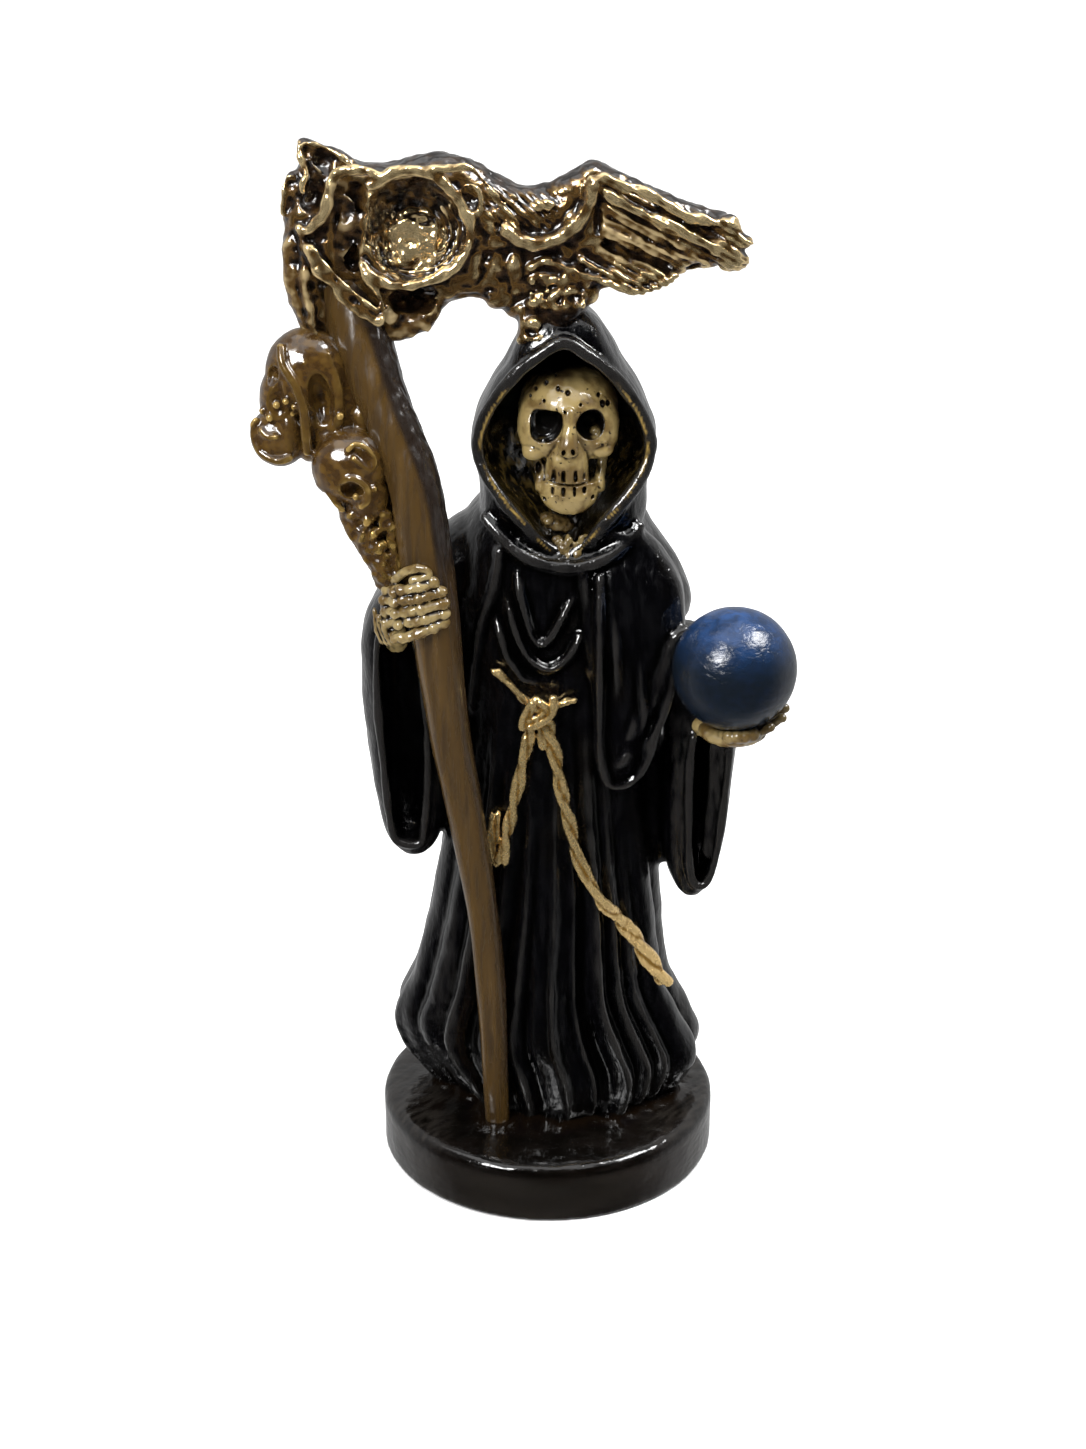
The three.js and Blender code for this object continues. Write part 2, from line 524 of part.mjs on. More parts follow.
// The neck of casting that ties the blade to the hood's crown
function makeBridge() {
  return limb([[1.6, -1, 80.5, 4], [1.2, -1.8, 83.4, 2.7], [0.8, -1.6, 86.5, 3.4]], 8, 3)
    .add(egg([-1.7, -3.6, 83.6], [0.8, 0.7, 0.8], 6, 4));
}

// The girdle: two cords from the waist's left side, a knot, and two cords that hang from it
function makeRope() {
  const cord = (line, radius, lift, steps) => {
    const lying = line.map(([x, z]) => [x, robeFront(x, z) - lift, z, radius]);
    return limb(lying, 4, steps);
  };
  const knotY = robeFront(-0.4, 46) - 0.9;
  const knotTurn = [[-1.9, knotY, 45.2, 0.5], [-0.9, knotY - 0.5, 46.9, 0.55],
    [0.9, knotY - 0.3, 47.9, 0.5]];
  return join([
    cord([[-5.3, 49.9], [-3.8, 48.8], [-2.3, 47.6], [-0.4, 46.6]], 0.6, 0.3, 2),
    cord([[-0.4, 46.4], [1.2, 46.8], [2.9, 47.2]], 0.65, 0.5, 1),
    cord([[-0.8, 45.6], [-2.2, 41], [-3.1, 36.5], [-4.2, 32.4], [-4.8, 29.6]], 0.72, 0.35, 3),
    cord([[-4.9, 35.2], [-4.9, 32], [-4.8, 28.4]], 0.95, 0.2, 1),
    cord([[0, 45.4], [0.9, 39.5], [1.7, 34.5], [2.9, 30.2], [5.4, 25.8], [8.6, 22], [11.4, 18]],
      0.85, 0.4, 5),
    egg([-0.4, knotY, 46.3], [1.7, 0.9, 1.3], 6, 4),
    egg([-1.6, knotY, 45.3], [0.9, 0.6, 0.8], 6, 4),
    limb(knotTurn, 4, 2),
  ]);
}

const globeRadius = GLOBE_DIAMETER / 2;
const globeCentre = place(PALM.x, PALM.y, PALM.z).add(new THREE.Vector3(0, 0, SEAT_GAP + globeRadius));

// A finger bent round the underside of the ball, from the palm up its side
function makeCradleFinger(azimuth, reach, radius) {
  const carry = globeRadius + SEAT_GAP + radius * 0.7;
  const points = [0.08, 0.4, 0.75, 1].map((share) => {
    const rise = -Math.PI / 2 + share * reach;
    return [
      (globeCentre.x + carry * Math.cos(rise) * Math.cos(azimuth)) / SHARE,
      (globeCentre.y + carry * Math.cos(rise) * Math.sin(azimuth)) / SHARE,
      (globeCentre.z + carry * Math.sin(rise) - PLINTH_HEIGHT) / SHARE,
      radius / SHARE,
    ];
  });
  return limb(points, 4, 3);
}

function makeLeftHand() {
  const fingerRadius = 1.5;
  const reach = 62 * DEGREE;
  const fingers = [-75, -48, -20, 8].map((angle) => makeCradleFinger(angle * DEGREE, reach, fingerRadius));
  const thumb = makeCradleFinger(215 * DEGREE, 48 * DEGREE, fingerRadius);
  const heel = [PALM.x, PALM.y, PALM.z - 0.1];
  return join([
    egg(heel, [3.4, 3.2, 1.6], 7, 4),
    limb([[16.6, -9, 45.2, 1.5], [14.8, -6, 44.2, 1.4], [14.2, -2.4, 43.6, 1.4]], 6, 3),
    ...fingers,
    thumb,
  ]);
}

function makeGlobe(radius, columns, rows) {
  const geometry = new THREE.SphereGeometry(radius, columns, rows);
  geometry.rotateX(Math.PI / 2);
  geometry.translate(globeCentre.x, globeCentre.y, globeCentre.z);
  return solid(geometry);
}

function makeCast() {
  const cloth = join([
    makeRobe(), makeHood(), makeArms(), makeDrape(), makeSleeve(LEFT_SLEEVE), makeSleeve(RIGHT_SLEEVE),
  ]).subtract(join([makeHoodHollow(), makeSleeveMouth(LEFT_SLEEVE), makeSleeveMouth(RIGHT_SLEEVE)]));
  return join([
    makePlinth(), cloth, makeHoodRim(), makeCollar(), makeChestFolds(), makeMantleEdge(), makeSkull(),
    makeNeck(), makeStaff(), makeStaffSkulls(), makeRightHand(), makeBlade(), makeBridge(), makeRope(),
    makeLeftHand(),
  ]).subtract(makeGlobe(globeRadius + SEAT_GAP, 16, 10));
}

// A solid becomes a named mesh with its own finish
function mesh(name, piece, material) {
  const { vertProperties, triVerts } = piece.getMesh();
  const geometry = new THREE.BufferGeometry();
  geometry.setAttribute('position', new THREE.BufferAttribute(vertProperties, 3));
  geometry.setIndex(new THREE.BufferAttribute(triVerts, 1));
  geometry.computeVertexNormals();
  const object = new THREE.Mesh(geometry, material);
  object.name = name;
  return object;
}

const blackLacquer = new THREE.MeshStandardMaterial({ color: 0x0d0d0e, roughness: 0.22, metalness: 0 });
const blueGlass = new THREE.MeshStandardMaterial({ color: 0x23416e, roughness: 0.18, metalness: 0 });

const figure = new THREE.Group();
figure.add(mesh('cast_figure', makeCast(), blackLacquer));
figure.add(mesh('globe', makeGlobe(globeRadius, 16, 9), blueGlass));

export default figure;
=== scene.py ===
# A cast, painted skeleton in a hooded robe, with a scythe and a loose ball, on a round plinth.
# Metres, +Z up, the figure faces -Y. Forms are placed in shares: hundredths of the figure's height.

import math
import random

import bmesh
import bpy
from mathutils import Matrix, Vector, noise

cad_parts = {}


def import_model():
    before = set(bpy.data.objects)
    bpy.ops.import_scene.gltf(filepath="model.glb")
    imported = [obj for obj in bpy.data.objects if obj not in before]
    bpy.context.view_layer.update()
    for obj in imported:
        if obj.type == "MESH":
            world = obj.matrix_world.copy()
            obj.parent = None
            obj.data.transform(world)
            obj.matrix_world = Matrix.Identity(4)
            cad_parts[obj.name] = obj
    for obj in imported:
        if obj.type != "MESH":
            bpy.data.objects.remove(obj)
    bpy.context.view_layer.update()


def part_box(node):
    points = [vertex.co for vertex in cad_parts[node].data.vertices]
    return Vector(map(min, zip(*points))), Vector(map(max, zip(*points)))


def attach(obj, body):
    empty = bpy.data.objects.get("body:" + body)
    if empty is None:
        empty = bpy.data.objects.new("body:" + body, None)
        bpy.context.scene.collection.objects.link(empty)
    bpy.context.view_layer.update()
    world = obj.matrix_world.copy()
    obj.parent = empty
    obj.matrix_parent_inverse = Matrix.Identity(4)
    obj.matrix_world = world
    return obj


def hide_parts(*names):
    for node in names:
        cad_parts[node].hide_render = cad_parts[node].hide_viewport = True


mm = 0.001
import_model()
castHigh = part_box("cast_figure")[1]
globeLow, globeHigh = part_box("globe")

plinth = {
    "height": 13 * mm, "radius": castHigh.y, "topRound": 2.2 * mm, "footChamfer": 0.7 * mm,
    "voxel": 0.7 * mm,
}
share = (castHigh.z - plinth["height"]) / 100
globeCentre = (globeLow + globeHigh) / 2
globeRadius = (globeHigh.z - globeLow.z) / 2
faceX = 1.8
hoodX = 1.47
waist = 46.5
rootDepth = 0.4


def clamp(value, low=0.0, high=1.0):
    return min(high, max(low, value))


def mix(a, b, t):
    return a + (b - a) * t


def smoothStep(low, high, value):
    t = clamp((value - low) / (high - low))
    return t * t * (3 - 2 * t)


def gauss(value):
    return math.exp(-value * value)


def place(x, y, z):
    return Vector((x * share, y * share, plinth["height"] + z * share))


def toShares(co):
    return co.x / share, co.y / share, (co.z - plinth["height"]) / share


# Reads a table of levels at a height, on a smooth curve through its rows; past its ends it reads the end row
def levelAt(rows, height):
    i = 0
    while i < len(rows) - 2 and height > rows[i + 1][0]:
        i += 1
    a, b = rows[i], rows[i + 1]
    before, after = rows[max(0, i - 1)], rows[min(len(rows) - 1, i + 2)]
    span = b[0] - a[0]
    t = clamp((height - a[0]) / span)
    t2, t3 = t * t, t * t * t
    row = []
    for k, value in enumerate(a):
        slopeA = (b[k] - before[k]) / (b[0] - before[0]) * span
        slopeB = (after[k] - value) / (after[0] - a[0]) * span
        row.append((2 * t3 - 3 * t2 + 1) * value + (t3 - 2 * t2 + t) * slopeA
                   + (3 * t2 - 2 * t3) * b[k] + (t3 - t2) * slopeB)
    return row


# A point on the smooth curve through a list of points, with t from 0 to 1
def curvePoint(points, t):
    last = len(points) - 1
    i = min(last - 1, int(t * last))
    u = t * last - i
    b, c = points[i], points[i + 1]
    a = points[i - 1] if i > 0 else b * 2 - c
    d = points[i + 2] if i + 2 <= last else c * 2 - b
    return 0.5 * (2 * b + (c - a) * u + (2 * a - 5 * b + 4 * c - d) * u * u
                  + (3 * b - a - 3 * c + d) * u * u * u)


# A point on the unit circle, pushed out towards a box as power grows
def superDirection(angle, power):
    c, s = math.cos(angle), math.sin(angle)
    radius = (abs(c) ** power + abs(s) ** power) ** (-1 / power)
    return c * radius, s * radius


# A closed skin: skinPoint(angle, t) is its wall from t = 0 to t = 1, and each end closes on its middle
def addSkin(bm, sides, steps, skinPoint):
    rows = steps + 2
    made = bmesh.ops.create_uvsphere(bm, u_segments=sides, v_segments=rows, radius=1)
    for v in made["verts"]:
        ring = round(math.acos(clamp(-v.co.z, -1, 1)) / math.pi * rows)
        t = clamp((ring - 1) / steps)
        if ring in (0, rows):
            total = Vector((0, 0, 0))
            for k in range(sides):
                total += skinPoint(k / sides * math.tau, t)
            v.co = total / sides
        else:
            v.co = skinPoint(math.atan2(v.co.y, v.co.x), t)


# An upright form from a table of levels: height, left, right, front, back
def addUpright(bm, rows, power):
    low, high = rows[0][0], rows[-1][0]

    def wall(angle, t):
        height, left, right, front, back = levelAt(rows, mix(low, high, t))
        c, s = superDirection(angle, power)
        return place((left + right) / 2 + c * (right - left) / 2,
                     (front + back) / 2 + s * (back - front) / 2, height)

    addSkin(bm, 48, 40, wall)


# A tapered limb along a smooth line of (x, y, z, half width); depth is its thickness over its width
def addLimb(bm, line, depth=1.0, sides=12, steps=None, blunt=False):
    points = [place(*row[:3]) for row in line]
    last = len(line) - 1
    steps = steps or 6 * last
    length = sum((points[i + 1] - points[i]).length for i in range(last))

    def wall(angle, t):
        i = min(last - 1, int(t * last))
        radius = mix(line[i][3], line[i + 1][3], t * last - i) * share
        if not blunt:
            reach = clamp(min(t, 1 - t) * length / max(radius, 1e-6), 0.02, 1)
            radius *= math.sqrt(1 - (1 - reach) ** 2)
        t1, t2 = clamp(t - 0.01), clamp(t + 0.01)
        along = (curvePoint(points, t2) - curvePoint(points, t1)).normalized()
        across = Vector((0, 1, 0)).cross(along).normalized()
        up = along.cross(across)
        return (curvePoint(points, t) + across * math.cos(angle) * radius
                + up * math.sin(angle) * radius * depth)

    addSkin(bm, sides, steps, wall)


# A limb of one half width along a line of (x, y, height)
def addRod(bm, line, radius, depth=1.0):
    addLimb(bm, [(*co, radius) for co in line], depth)


def addEgg(bm, centre, half, columns=24, rows=16, tilt=0.0):
    made = bmesh.ops.create_uvsphere(bm, u_segments=columns, v_segments=rows, radius=share)
    turn = Matrix.Rotation(math.radians(tilt), 4, "Y")
    shape = Matrix.Translation(place(*centre)) @ turn @ Matrix.Diagonal((*half, 1))
    bmesh.ops.transform(bm, matrix=shape, verts=made["verts"])


# Small lumps strewn between two corners
def addCrumbs(bm, low, high, count, sizes, seed):
    chance = random.Random(seed)
    for _ in range(count):
        centre = [chance.uniform(a, b) for a, b in zip(low, high)]
        size = chance.uniform(*sizes)
        half = (size, size * 0.8, size * chance.uniform(0.7, 1.3))
        addEgg(bm, centre, half, 12, 8, tilt=chance.uniform(-40, 40))


def keep(bm, name):
    bmesh.ops.recalc_face_normals(bm, faces=bm.faces)
    mesh = bpy.data.meshes.new(name)
    bm.to_mesh(mesh)
    bm.free()
    piece = bpy.data.objects.new(name, mesh)
    bpy.context.scene.collection.objects.link(piece)
    return piece


# Applies one modifier to a piece and keeps the result as its mesh
def finishWith(piece, kind, **settings):
    modifier = piece.modifiers.new(kind, kind)
    for key, value in settings.items():
        setattr(modifier, key, value)
    graph = bpy.context.evaluated_depsgraph_get()
    finished = bpy.data.meshes.new_from_object(piece.evaluated_get(graph), depsgraph=graph)
    piece.modifiers.clear()
    rough = piece.data
    piece.data = finished
    bpy.data.meshes.remove(rough)
    return piece


# Melts the forms of a piece into one skin
def melt(piece, voxel):
    return finishWith(piece, "REMESH", mode="VOXEL", voxel_size=voxel, use_smooth_shade=True)


# Thins a skin to a share of its triangles, first where it is smooth
def thin(piece, keepShare):
    finishWith(piece, "DECIMATE", ratio=keepShare)


def cutAway(piece, cutters):
    cutter = keep(cutters, piece.name + "_cutter")
    finishWith(piece, "BOOLEAN", operation="DIFFERENCE", solver="MANIFOLD", object=cutter)
    bpy.data.objects.remove(cutter)


# Melts further forms onto a piece
def addOnto(piece, bm, voxel):
    bmesh.ops.recalc_face_normals(bm, faces=bm.faces)
    bm.from_mesh(piece.data)
    bm.to_mesh(piece.data)
    bm.free()
    melt(piece, voxel)


def soften(bm, rounds):
    axes = {"use_axis_x": True, "use_axis_y": True, "use_axis_z": True}
    for _ in range(rounds):
        bmesh.ops.smooth_vert(bm, verts=bm.verts, factor=0.5, **axes)


# Softens a piece, then moves each point along its normal by what relief(place in shares) says
def carve(piece, rounds, relief):
    bm = bmesh.new()
    bm.from_mesh(piece.data)
    soften(bm, rounds)
    bm.normal_update()
    moves = [(v, v.normal * relief(*toShares(v.co)) * share) for v in bm.verts]
    for v, move in moves:
        v.co += move
    bm.to_mesh(piece.data)
    bm.free()


# Writes how far each point stands out of (1) or into (0) its surroundings, for the paint to read; lift
# adds to it in places
def markRelief(piece, rounds, span, lift=None):
    bm = bmesh.new()
    bm.from_mesh(piece.data)
    bm.normal_update()
    sharp = [(v.co.copy(), v.normal.copy()) for v in bm.verts]
    soften(bm, rounds)
    values = [clamp(0.5 + (co - v.co).dot(normal) / span / 2 + (lift(*toShares(co)) if lift else 0))
              for v, (co, normal) in zip(bm.verts, sharp)]
    bm.free()
    piece.data.attributes.new("relief", "FLOAT", "POINT").data.foreach_set("value", values)


# Writes a share from 0 to 1 at each point, worked out from its place in shares and its normal
def markArea(piece, name, area):
    values = [area(*toShares(v.co), v.normal) for v in piece.data.vertices]
    piece.data.attributes.new(name, "FLOAT", "POINT").data.foreach_set("value", values)


def ripple(x, y, z, size, seed=0.0):
    return noise.noise(Vector((x / size + seed, y / size, z / size)))


def settle(piece, material, slot, *nodes):
    for polygon in piece.data.polygons:
        polygon.use_smooth = True
    piece.data.materials.clear()
    piece.data.materials.append(material)
    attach(piece, "root")
    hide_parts(*nodes)
    print(piece.name, len(piece.data.polygons), "faces")


def linear(code):
    channels = [int(code[i:i + 2], 16) / 255 for i in (1, 3, 5)]
    return tuple(c / 12.92 if c <= 0.04045 else ((c + 0.055) / 1.055) ** 2.4 for c in channels) + (1,)


# Adds one node: settings are its properties or its inputs, links are its inputs from other outputs
def addNode(material, kind, settings=None, links=None):
    tree = material.node_tree
    node = tree.nodes.new(kind)
    for key, value in (settings or {}).items():
        if isinstance(key, str) and hasattr(node, key):
            setattr(node, key, value)
        else:
            node.inputs[key].default_value = value
    for socket, source in (links or {}).items():
        tree.links.new(source, node.inputs[socket])
    return node


def startMaterial(name):
    material = bpy.data.materials.new(name)
    material.use_nodes = True
    material.node_tree.nodes.clear()
    coords = addNode(material, "ShaderNodeTexCoord").outputs["Object"]
    return material, coords


# Noise with its grain given in millimetres along x, y and z
def grain(material, coords, size, detail=4.0, distortion=0.0):
    scale = {"Scale": [1 / (s * mm) for s in size]}
    stretched = addNode(material, "ShaderNodeMapping", scale, {"Vector": coords}).outputs[0]
    settings = {"Scale": 1.0, "Detail": detail, "Distortion": distortion}
    return addNode(material, "ShaderNodeTexNoise", settings, {"Vector": stretched}).outputs["Fac"]


def between(material, value, low, high, bottom=0.0, top=1.0):
    settings = {"interpolation_type": "SMOOTHSTEP", 1: low, 2: high, 3: bottom, 4: top}
    return addNode(material, "ShaderNodeMapRange", settings, {0: value}).outputs[0]


def blendColors(material, factor, a, b):
    settings, links = {"data_type": "RGBA"}, {0: factor}
    for socket, color in ((6, a), (7, b)):
        if isinstance(color, str):
            settings[socket] = linear(color)
        else:
            links[socket] = color
    return addNode(material, "ShaderNodeMix", settings, links).outputs[2]


def combine(material, operation, a, b):
    settings, links = {"operation": operation, "use_clamp": operation == "MULTIPLY"}, {}
    for socket, value in ((0, a), (1, b)):
        if isinstance(value, (int, float)):
            settings[socket] = value
        else:
            links[socket] = value
    return addNode(material, "ShaderNodeMath", settings, links).outputs[0]


def painted(material, name):
    return addNode(material, "ShaderNodeAttribute", {"attribute_name": name}).outputs["Fac"]


# Raises the surface by a height in millimetres, over an earlier bump where there is one
def raiseBump(material, height, depth, under=None):
    links = {"Height": height}
    if under is not None:
        links["Normal"] = under
    return addNode(material, "ShaderNodeBump", {"Strength": 1.0, "Distance": depth * mm}, links).outputs[0]


def finishMaterial(material, settings, links):
    shader = addNode(material, "ShaderNodeBsdfPrincipled", settings, links)
    addNode(material, "ShaderNodeOutputMaterial", None, {"Surface": shader.outputs[0]})
    return material


# Brushed lacquer on cast resin: deep and wet to the eye, with fine stroke ridges that break up highlights
def makeLacquer(name, look):
    material, coords = startMaterial(name)
    strokes = grain(material, coords, look["stroke"], detail=5, distortion=0.4)
    swell = grain(material, coords, look["swell"], detail=2)
    patches = grain(material, coords, look["patch"], detail=3)
    color = blendColors(material, between(material, strokes, 0.42, 0.68), look["base"], look["streak"])
    color = blendColors(material, between(material, patches, 0.5, 0.72), color, look["patchColor"])
    recess = between(material, painted(material, "relief"), 0.3, 0.5, 1.0, 0.0)
    color = blendColors(material, recess, color, look["recess"])
    # Lighter grey on raised edges: part rubbed wear, part painted highlight
    if "edge" in look:
        wearAndHighlight = between(material, painted(material, "relief"), 0.58, 0.85, 0.0, 0.9)
        color = blendColors(material, wearAndHighlight, color, look["edge"])
    # Painted grey sheen where the side mark lies: the robe's cuffs, the plinth's side and the ends of its
    # top
    color = blendColors(material, painted(material, "side"), color, look["side"])
    # The tint mark: bronze in the hood, lacquer pools on the plinth, and painted shade down the staff's robe
    # side
    if "tint" in look:
        color = blendColors(material, painted(material, "tint"), color, look["tint"])
    bump = raiseBump(material, swell, look["swellDepth"])
    bump = raiseBump(material, strokes, look["strokeDepth"], bump)
    rough = between(material, strokes, 0.3, 0.75, *look["rough"])
    return finishMaterial(
        material,
        {"Metallic": 0.0, "IOR": 1.5, "Coat Weight": look["coat"], "Coat Roughness": 0.06},
        {"Base Color": color, "Roughness": rough, "Normal": bump},
    )


# Gold bronze-powder paint in varnish, rubbed over umber lacquer: bright on what stands out, olive brown
# down its flanks, wet brown-black in the recesses
def makeRubbedGold(name, look):
    material, coords = startMaterial(name)
    crumbs = grain(material, coords, look["crumb"], detail=1.5, distortion=0.6)
    smear = grain(material, coords, look["smear"], detail=1.2)
    wander = combine(material, "MULTIPLY", smear, look["wander"])
    relief = combine(material, "SUBTRACT", painted(material, "relief"), look["wander"] / 2)
    height = combine(material, "ADD", relief, wander)
    gilt = painted(material, "gilt")
    cover = combine(material, "MULTIPLY", between(material, height, *look["cover"]), gilt)
    bright = combine(material, "MULTIPLY", between(material, height, *look["bright"]), gilt)
    umber = blendColors(material, between(material, smear, 0.4, 0.7), look["umber"], look["brown"])
    color = blendColors(material, cover, umber, look["deepGold"])
    color = blendColors(material, bright, color, look["gold"])
    bump = raiseBump(material, smear, look["smearDepth"])
    bump = raiseBump(material, crumbs, look["crumbDepth"], bump)
    rough = between(material, crumbs, 0.3, 0.7, *look["rough"])
    metal = combine(material, "MULTIPLY", cover, look["metal"])
    return finishMaterial(
        material,
        {"IOR": 1.5, "Coat Weight": 0.7, "Coat Roughness": 0.07},
        {"Base Color": color, "Metallic": metal, "Roughness": rough, "Normal": bump},
    )


# Bone-coloured enamel under clear varnish: warm and even, with umber wash left in pits and gaps (in the
# hands' gaps partly painted shade), and near-black where the dark mark lies: black sockets and painted shade
def makeBone(name, look):
    material, coords = startMaterial(name)
    wash = grain(material, coords, (4, 4, 4), detail=3)
    pits = grain(material, coords, look["pit"], detail=2, distortion=0.5)
    skin = blendColors(material, between(material, wash, 0.42, 0.62), look["pale"], look["ochre"])
    recess = between(material, painted(material, "relief"), *look["recess"], 1.0, 0.0)
    spots = between(material, pits, *look["spots"])
    stained = blendColors(material, combine(material, "MAXIMUM", recess, spots), skin, look["umber"])
    # Near-black where the dark mark lies: black-painted sockets, and painted shade in the hood and beside
    # the ball
    color = blendColors(material, painted(material, "dark"), stained, look["black"])
    bump = raiseBump(material, wash, 0.25)
    return finishMaterial(
        material,
        {"Metallic": 0.0, "Roughness": 0.28, "IOR": 1.5, "Coat Weight": 0.8, "Coat Roughness": 0.07},
        {"Base Color": color, "Normal": bump},
    )


# Hand-marbled blue enamel on a resin ball, varnished: cloudy marbling, lightened towards the top as painted
# light from above, navy below, and a gloss that is faintly dimpled
def makeMarbledBlue(name):
    material, coords = startMaterial(name)
    shift = {"Location": -globeCentre}
    centred = addNode(material, "ShaderNodeMapping", shift, {"Vector": coords}).outputs[0]
    clouds = grain(material, centred, (3.4, 3.4, 2.4), detail=6, distortion=0.6)
    veins = grain(material, centred, (1.6, 1.6, 0.9), detail=5, distortion=0.8)
    height = addNode(material, "ShaderNodeSeparateXYZ", None, {0: centred}).outputs[2]
    # Painted light: the lighter blue grows towards the top of the ball
    up = between(material, height, globeRadius * 0.1, globeRadius * 1.1)
    light = combine(material, "MULTIPLY", up, between(material, clouds, 0.3, 0.72, 0.35, 1.0))
    color = blendColors(material, light, "#0D141C", "#1C3C69")
    color = blendColors(material, between(material, veins, 0.45, 0.75, 0.0, 0.35), color, "#111D33")
    bump = raiseBump(material, veins, 0.18)
    return finishMaterial(
        material,
        {"Metallic": 0.0, "Roughness": 0.2, "IOR": 1.5, "Coat Weight": 0.15, "Coat Roughness": 0.06},
        {"Base Color": color, "Normal": bump},
    )


robeLook = {
    "stroke": (1.3, 1.3, 5), "swell": (1.2, 1.2, 1.6), "patch": (9, 9, 18),
    "base": "#030304", "streak": "#08080A", "patchColor": "#070605", "recess": "#010101",
    # side is painted grey sheen on the cuffs; edge is lighter grey on raised edges, part wear, part painted
    # highlight
    "tint": "#8A723C", "edge": "#1F1E1D", "side": "#1C1B1A",
    "swellDepth": 0.26, "strokeDepth": 0.16, "rough": (0.06, 0.26), "coat": 0.6,
}
plinthLook = {
    "stroke": (7, 7, 0.8), "swell": (1.8, 1.8, 1.4), "patch": (16, 16, 6),
    "base": "#050403", "streak": "#0C0907", "patchColor": "#0C0806", "recess": "#060404",
    # side is painted grey sheen on the plinth
    "tint": "#0E0804", "side": "#1D1A17",
    "swellDepth": 0.15, "strokeDepth": 0.1, "rough": (0.06, 0.26), "coat": 0.4,
}
staffLook = {
    "stroke": (1.2, 1.2, 16), "swell": (3, 3, 16), "patch": (3, 3, 26),
    "base": "#3F2E15", "streak": "#352611", "patchColor": "#4C3819", "recess": "#1D130A",
    # tint is painted shade on the side by the robe
    "tint": "#1E1712", "side": "#1E1712",
    "swellDepth": 0.3, "strokeDepth": 0.08, "rough": (0.2, 0.34), "coat": 0.5,
}
# cover and bright say from which relief on the deep and the bright gold lie
bladeLook = {
    "crumb": (1.1, 1.1, 1.1), "smear": (2, 2, 1.6), "wander": 0.34,
    "cover": (0.41, 0.59), "bright": (0.55, 0.77),
    "gold": "#F0D6A0", "deepGold": "#70532A", "umber": "#0D0805", "brown": "#26190D",
    "crumbDepth": 0.012, "smearDepth": 0.45, "rough": (0.14, 0.26), "metal": 0.85,
}
staffSkullLook = dict(
    bladeLook, cover=(0.54, 0.7), bright=(0.66, 0.82), wander=0.12, smearDepth=0.15, metal=0.7,
    gold="#C7A660", deepGold="#674F24", umber="#35240F", brown="#4D3817",
)
ropeLook = dict(
    bladeLook, cover=(0.3, 0.44), bright=(0.42, 0.62), smear=(0.9, 0.9, 2.4), wander=0.4, smearDepth=0.2,
    rough=(0.16, 0.3), gold="#F5D595", deepGold="#A87F3C", umber="#160D05", brown="#3A2711",
)
# black is laid by the dark mark: black-painted sockets and painted shade
boneLook = {
    "pale": "#857349", "ochre": "#5A4828", "umber": "#1C1309", "black": "#050302", "pit": (1.1, 1.1, 0.9),
    "recess": (0.26, 0.49), "spots": (0.65, 0.71),
}
# The hands' umber reaches wider into the gaps between the bones: wash, and partly painted shade
handLook = dict(boneLook, pale="#82714A", ochre="#594624", recess=(0.38, 0.56), spots=(0.76, 0.84))


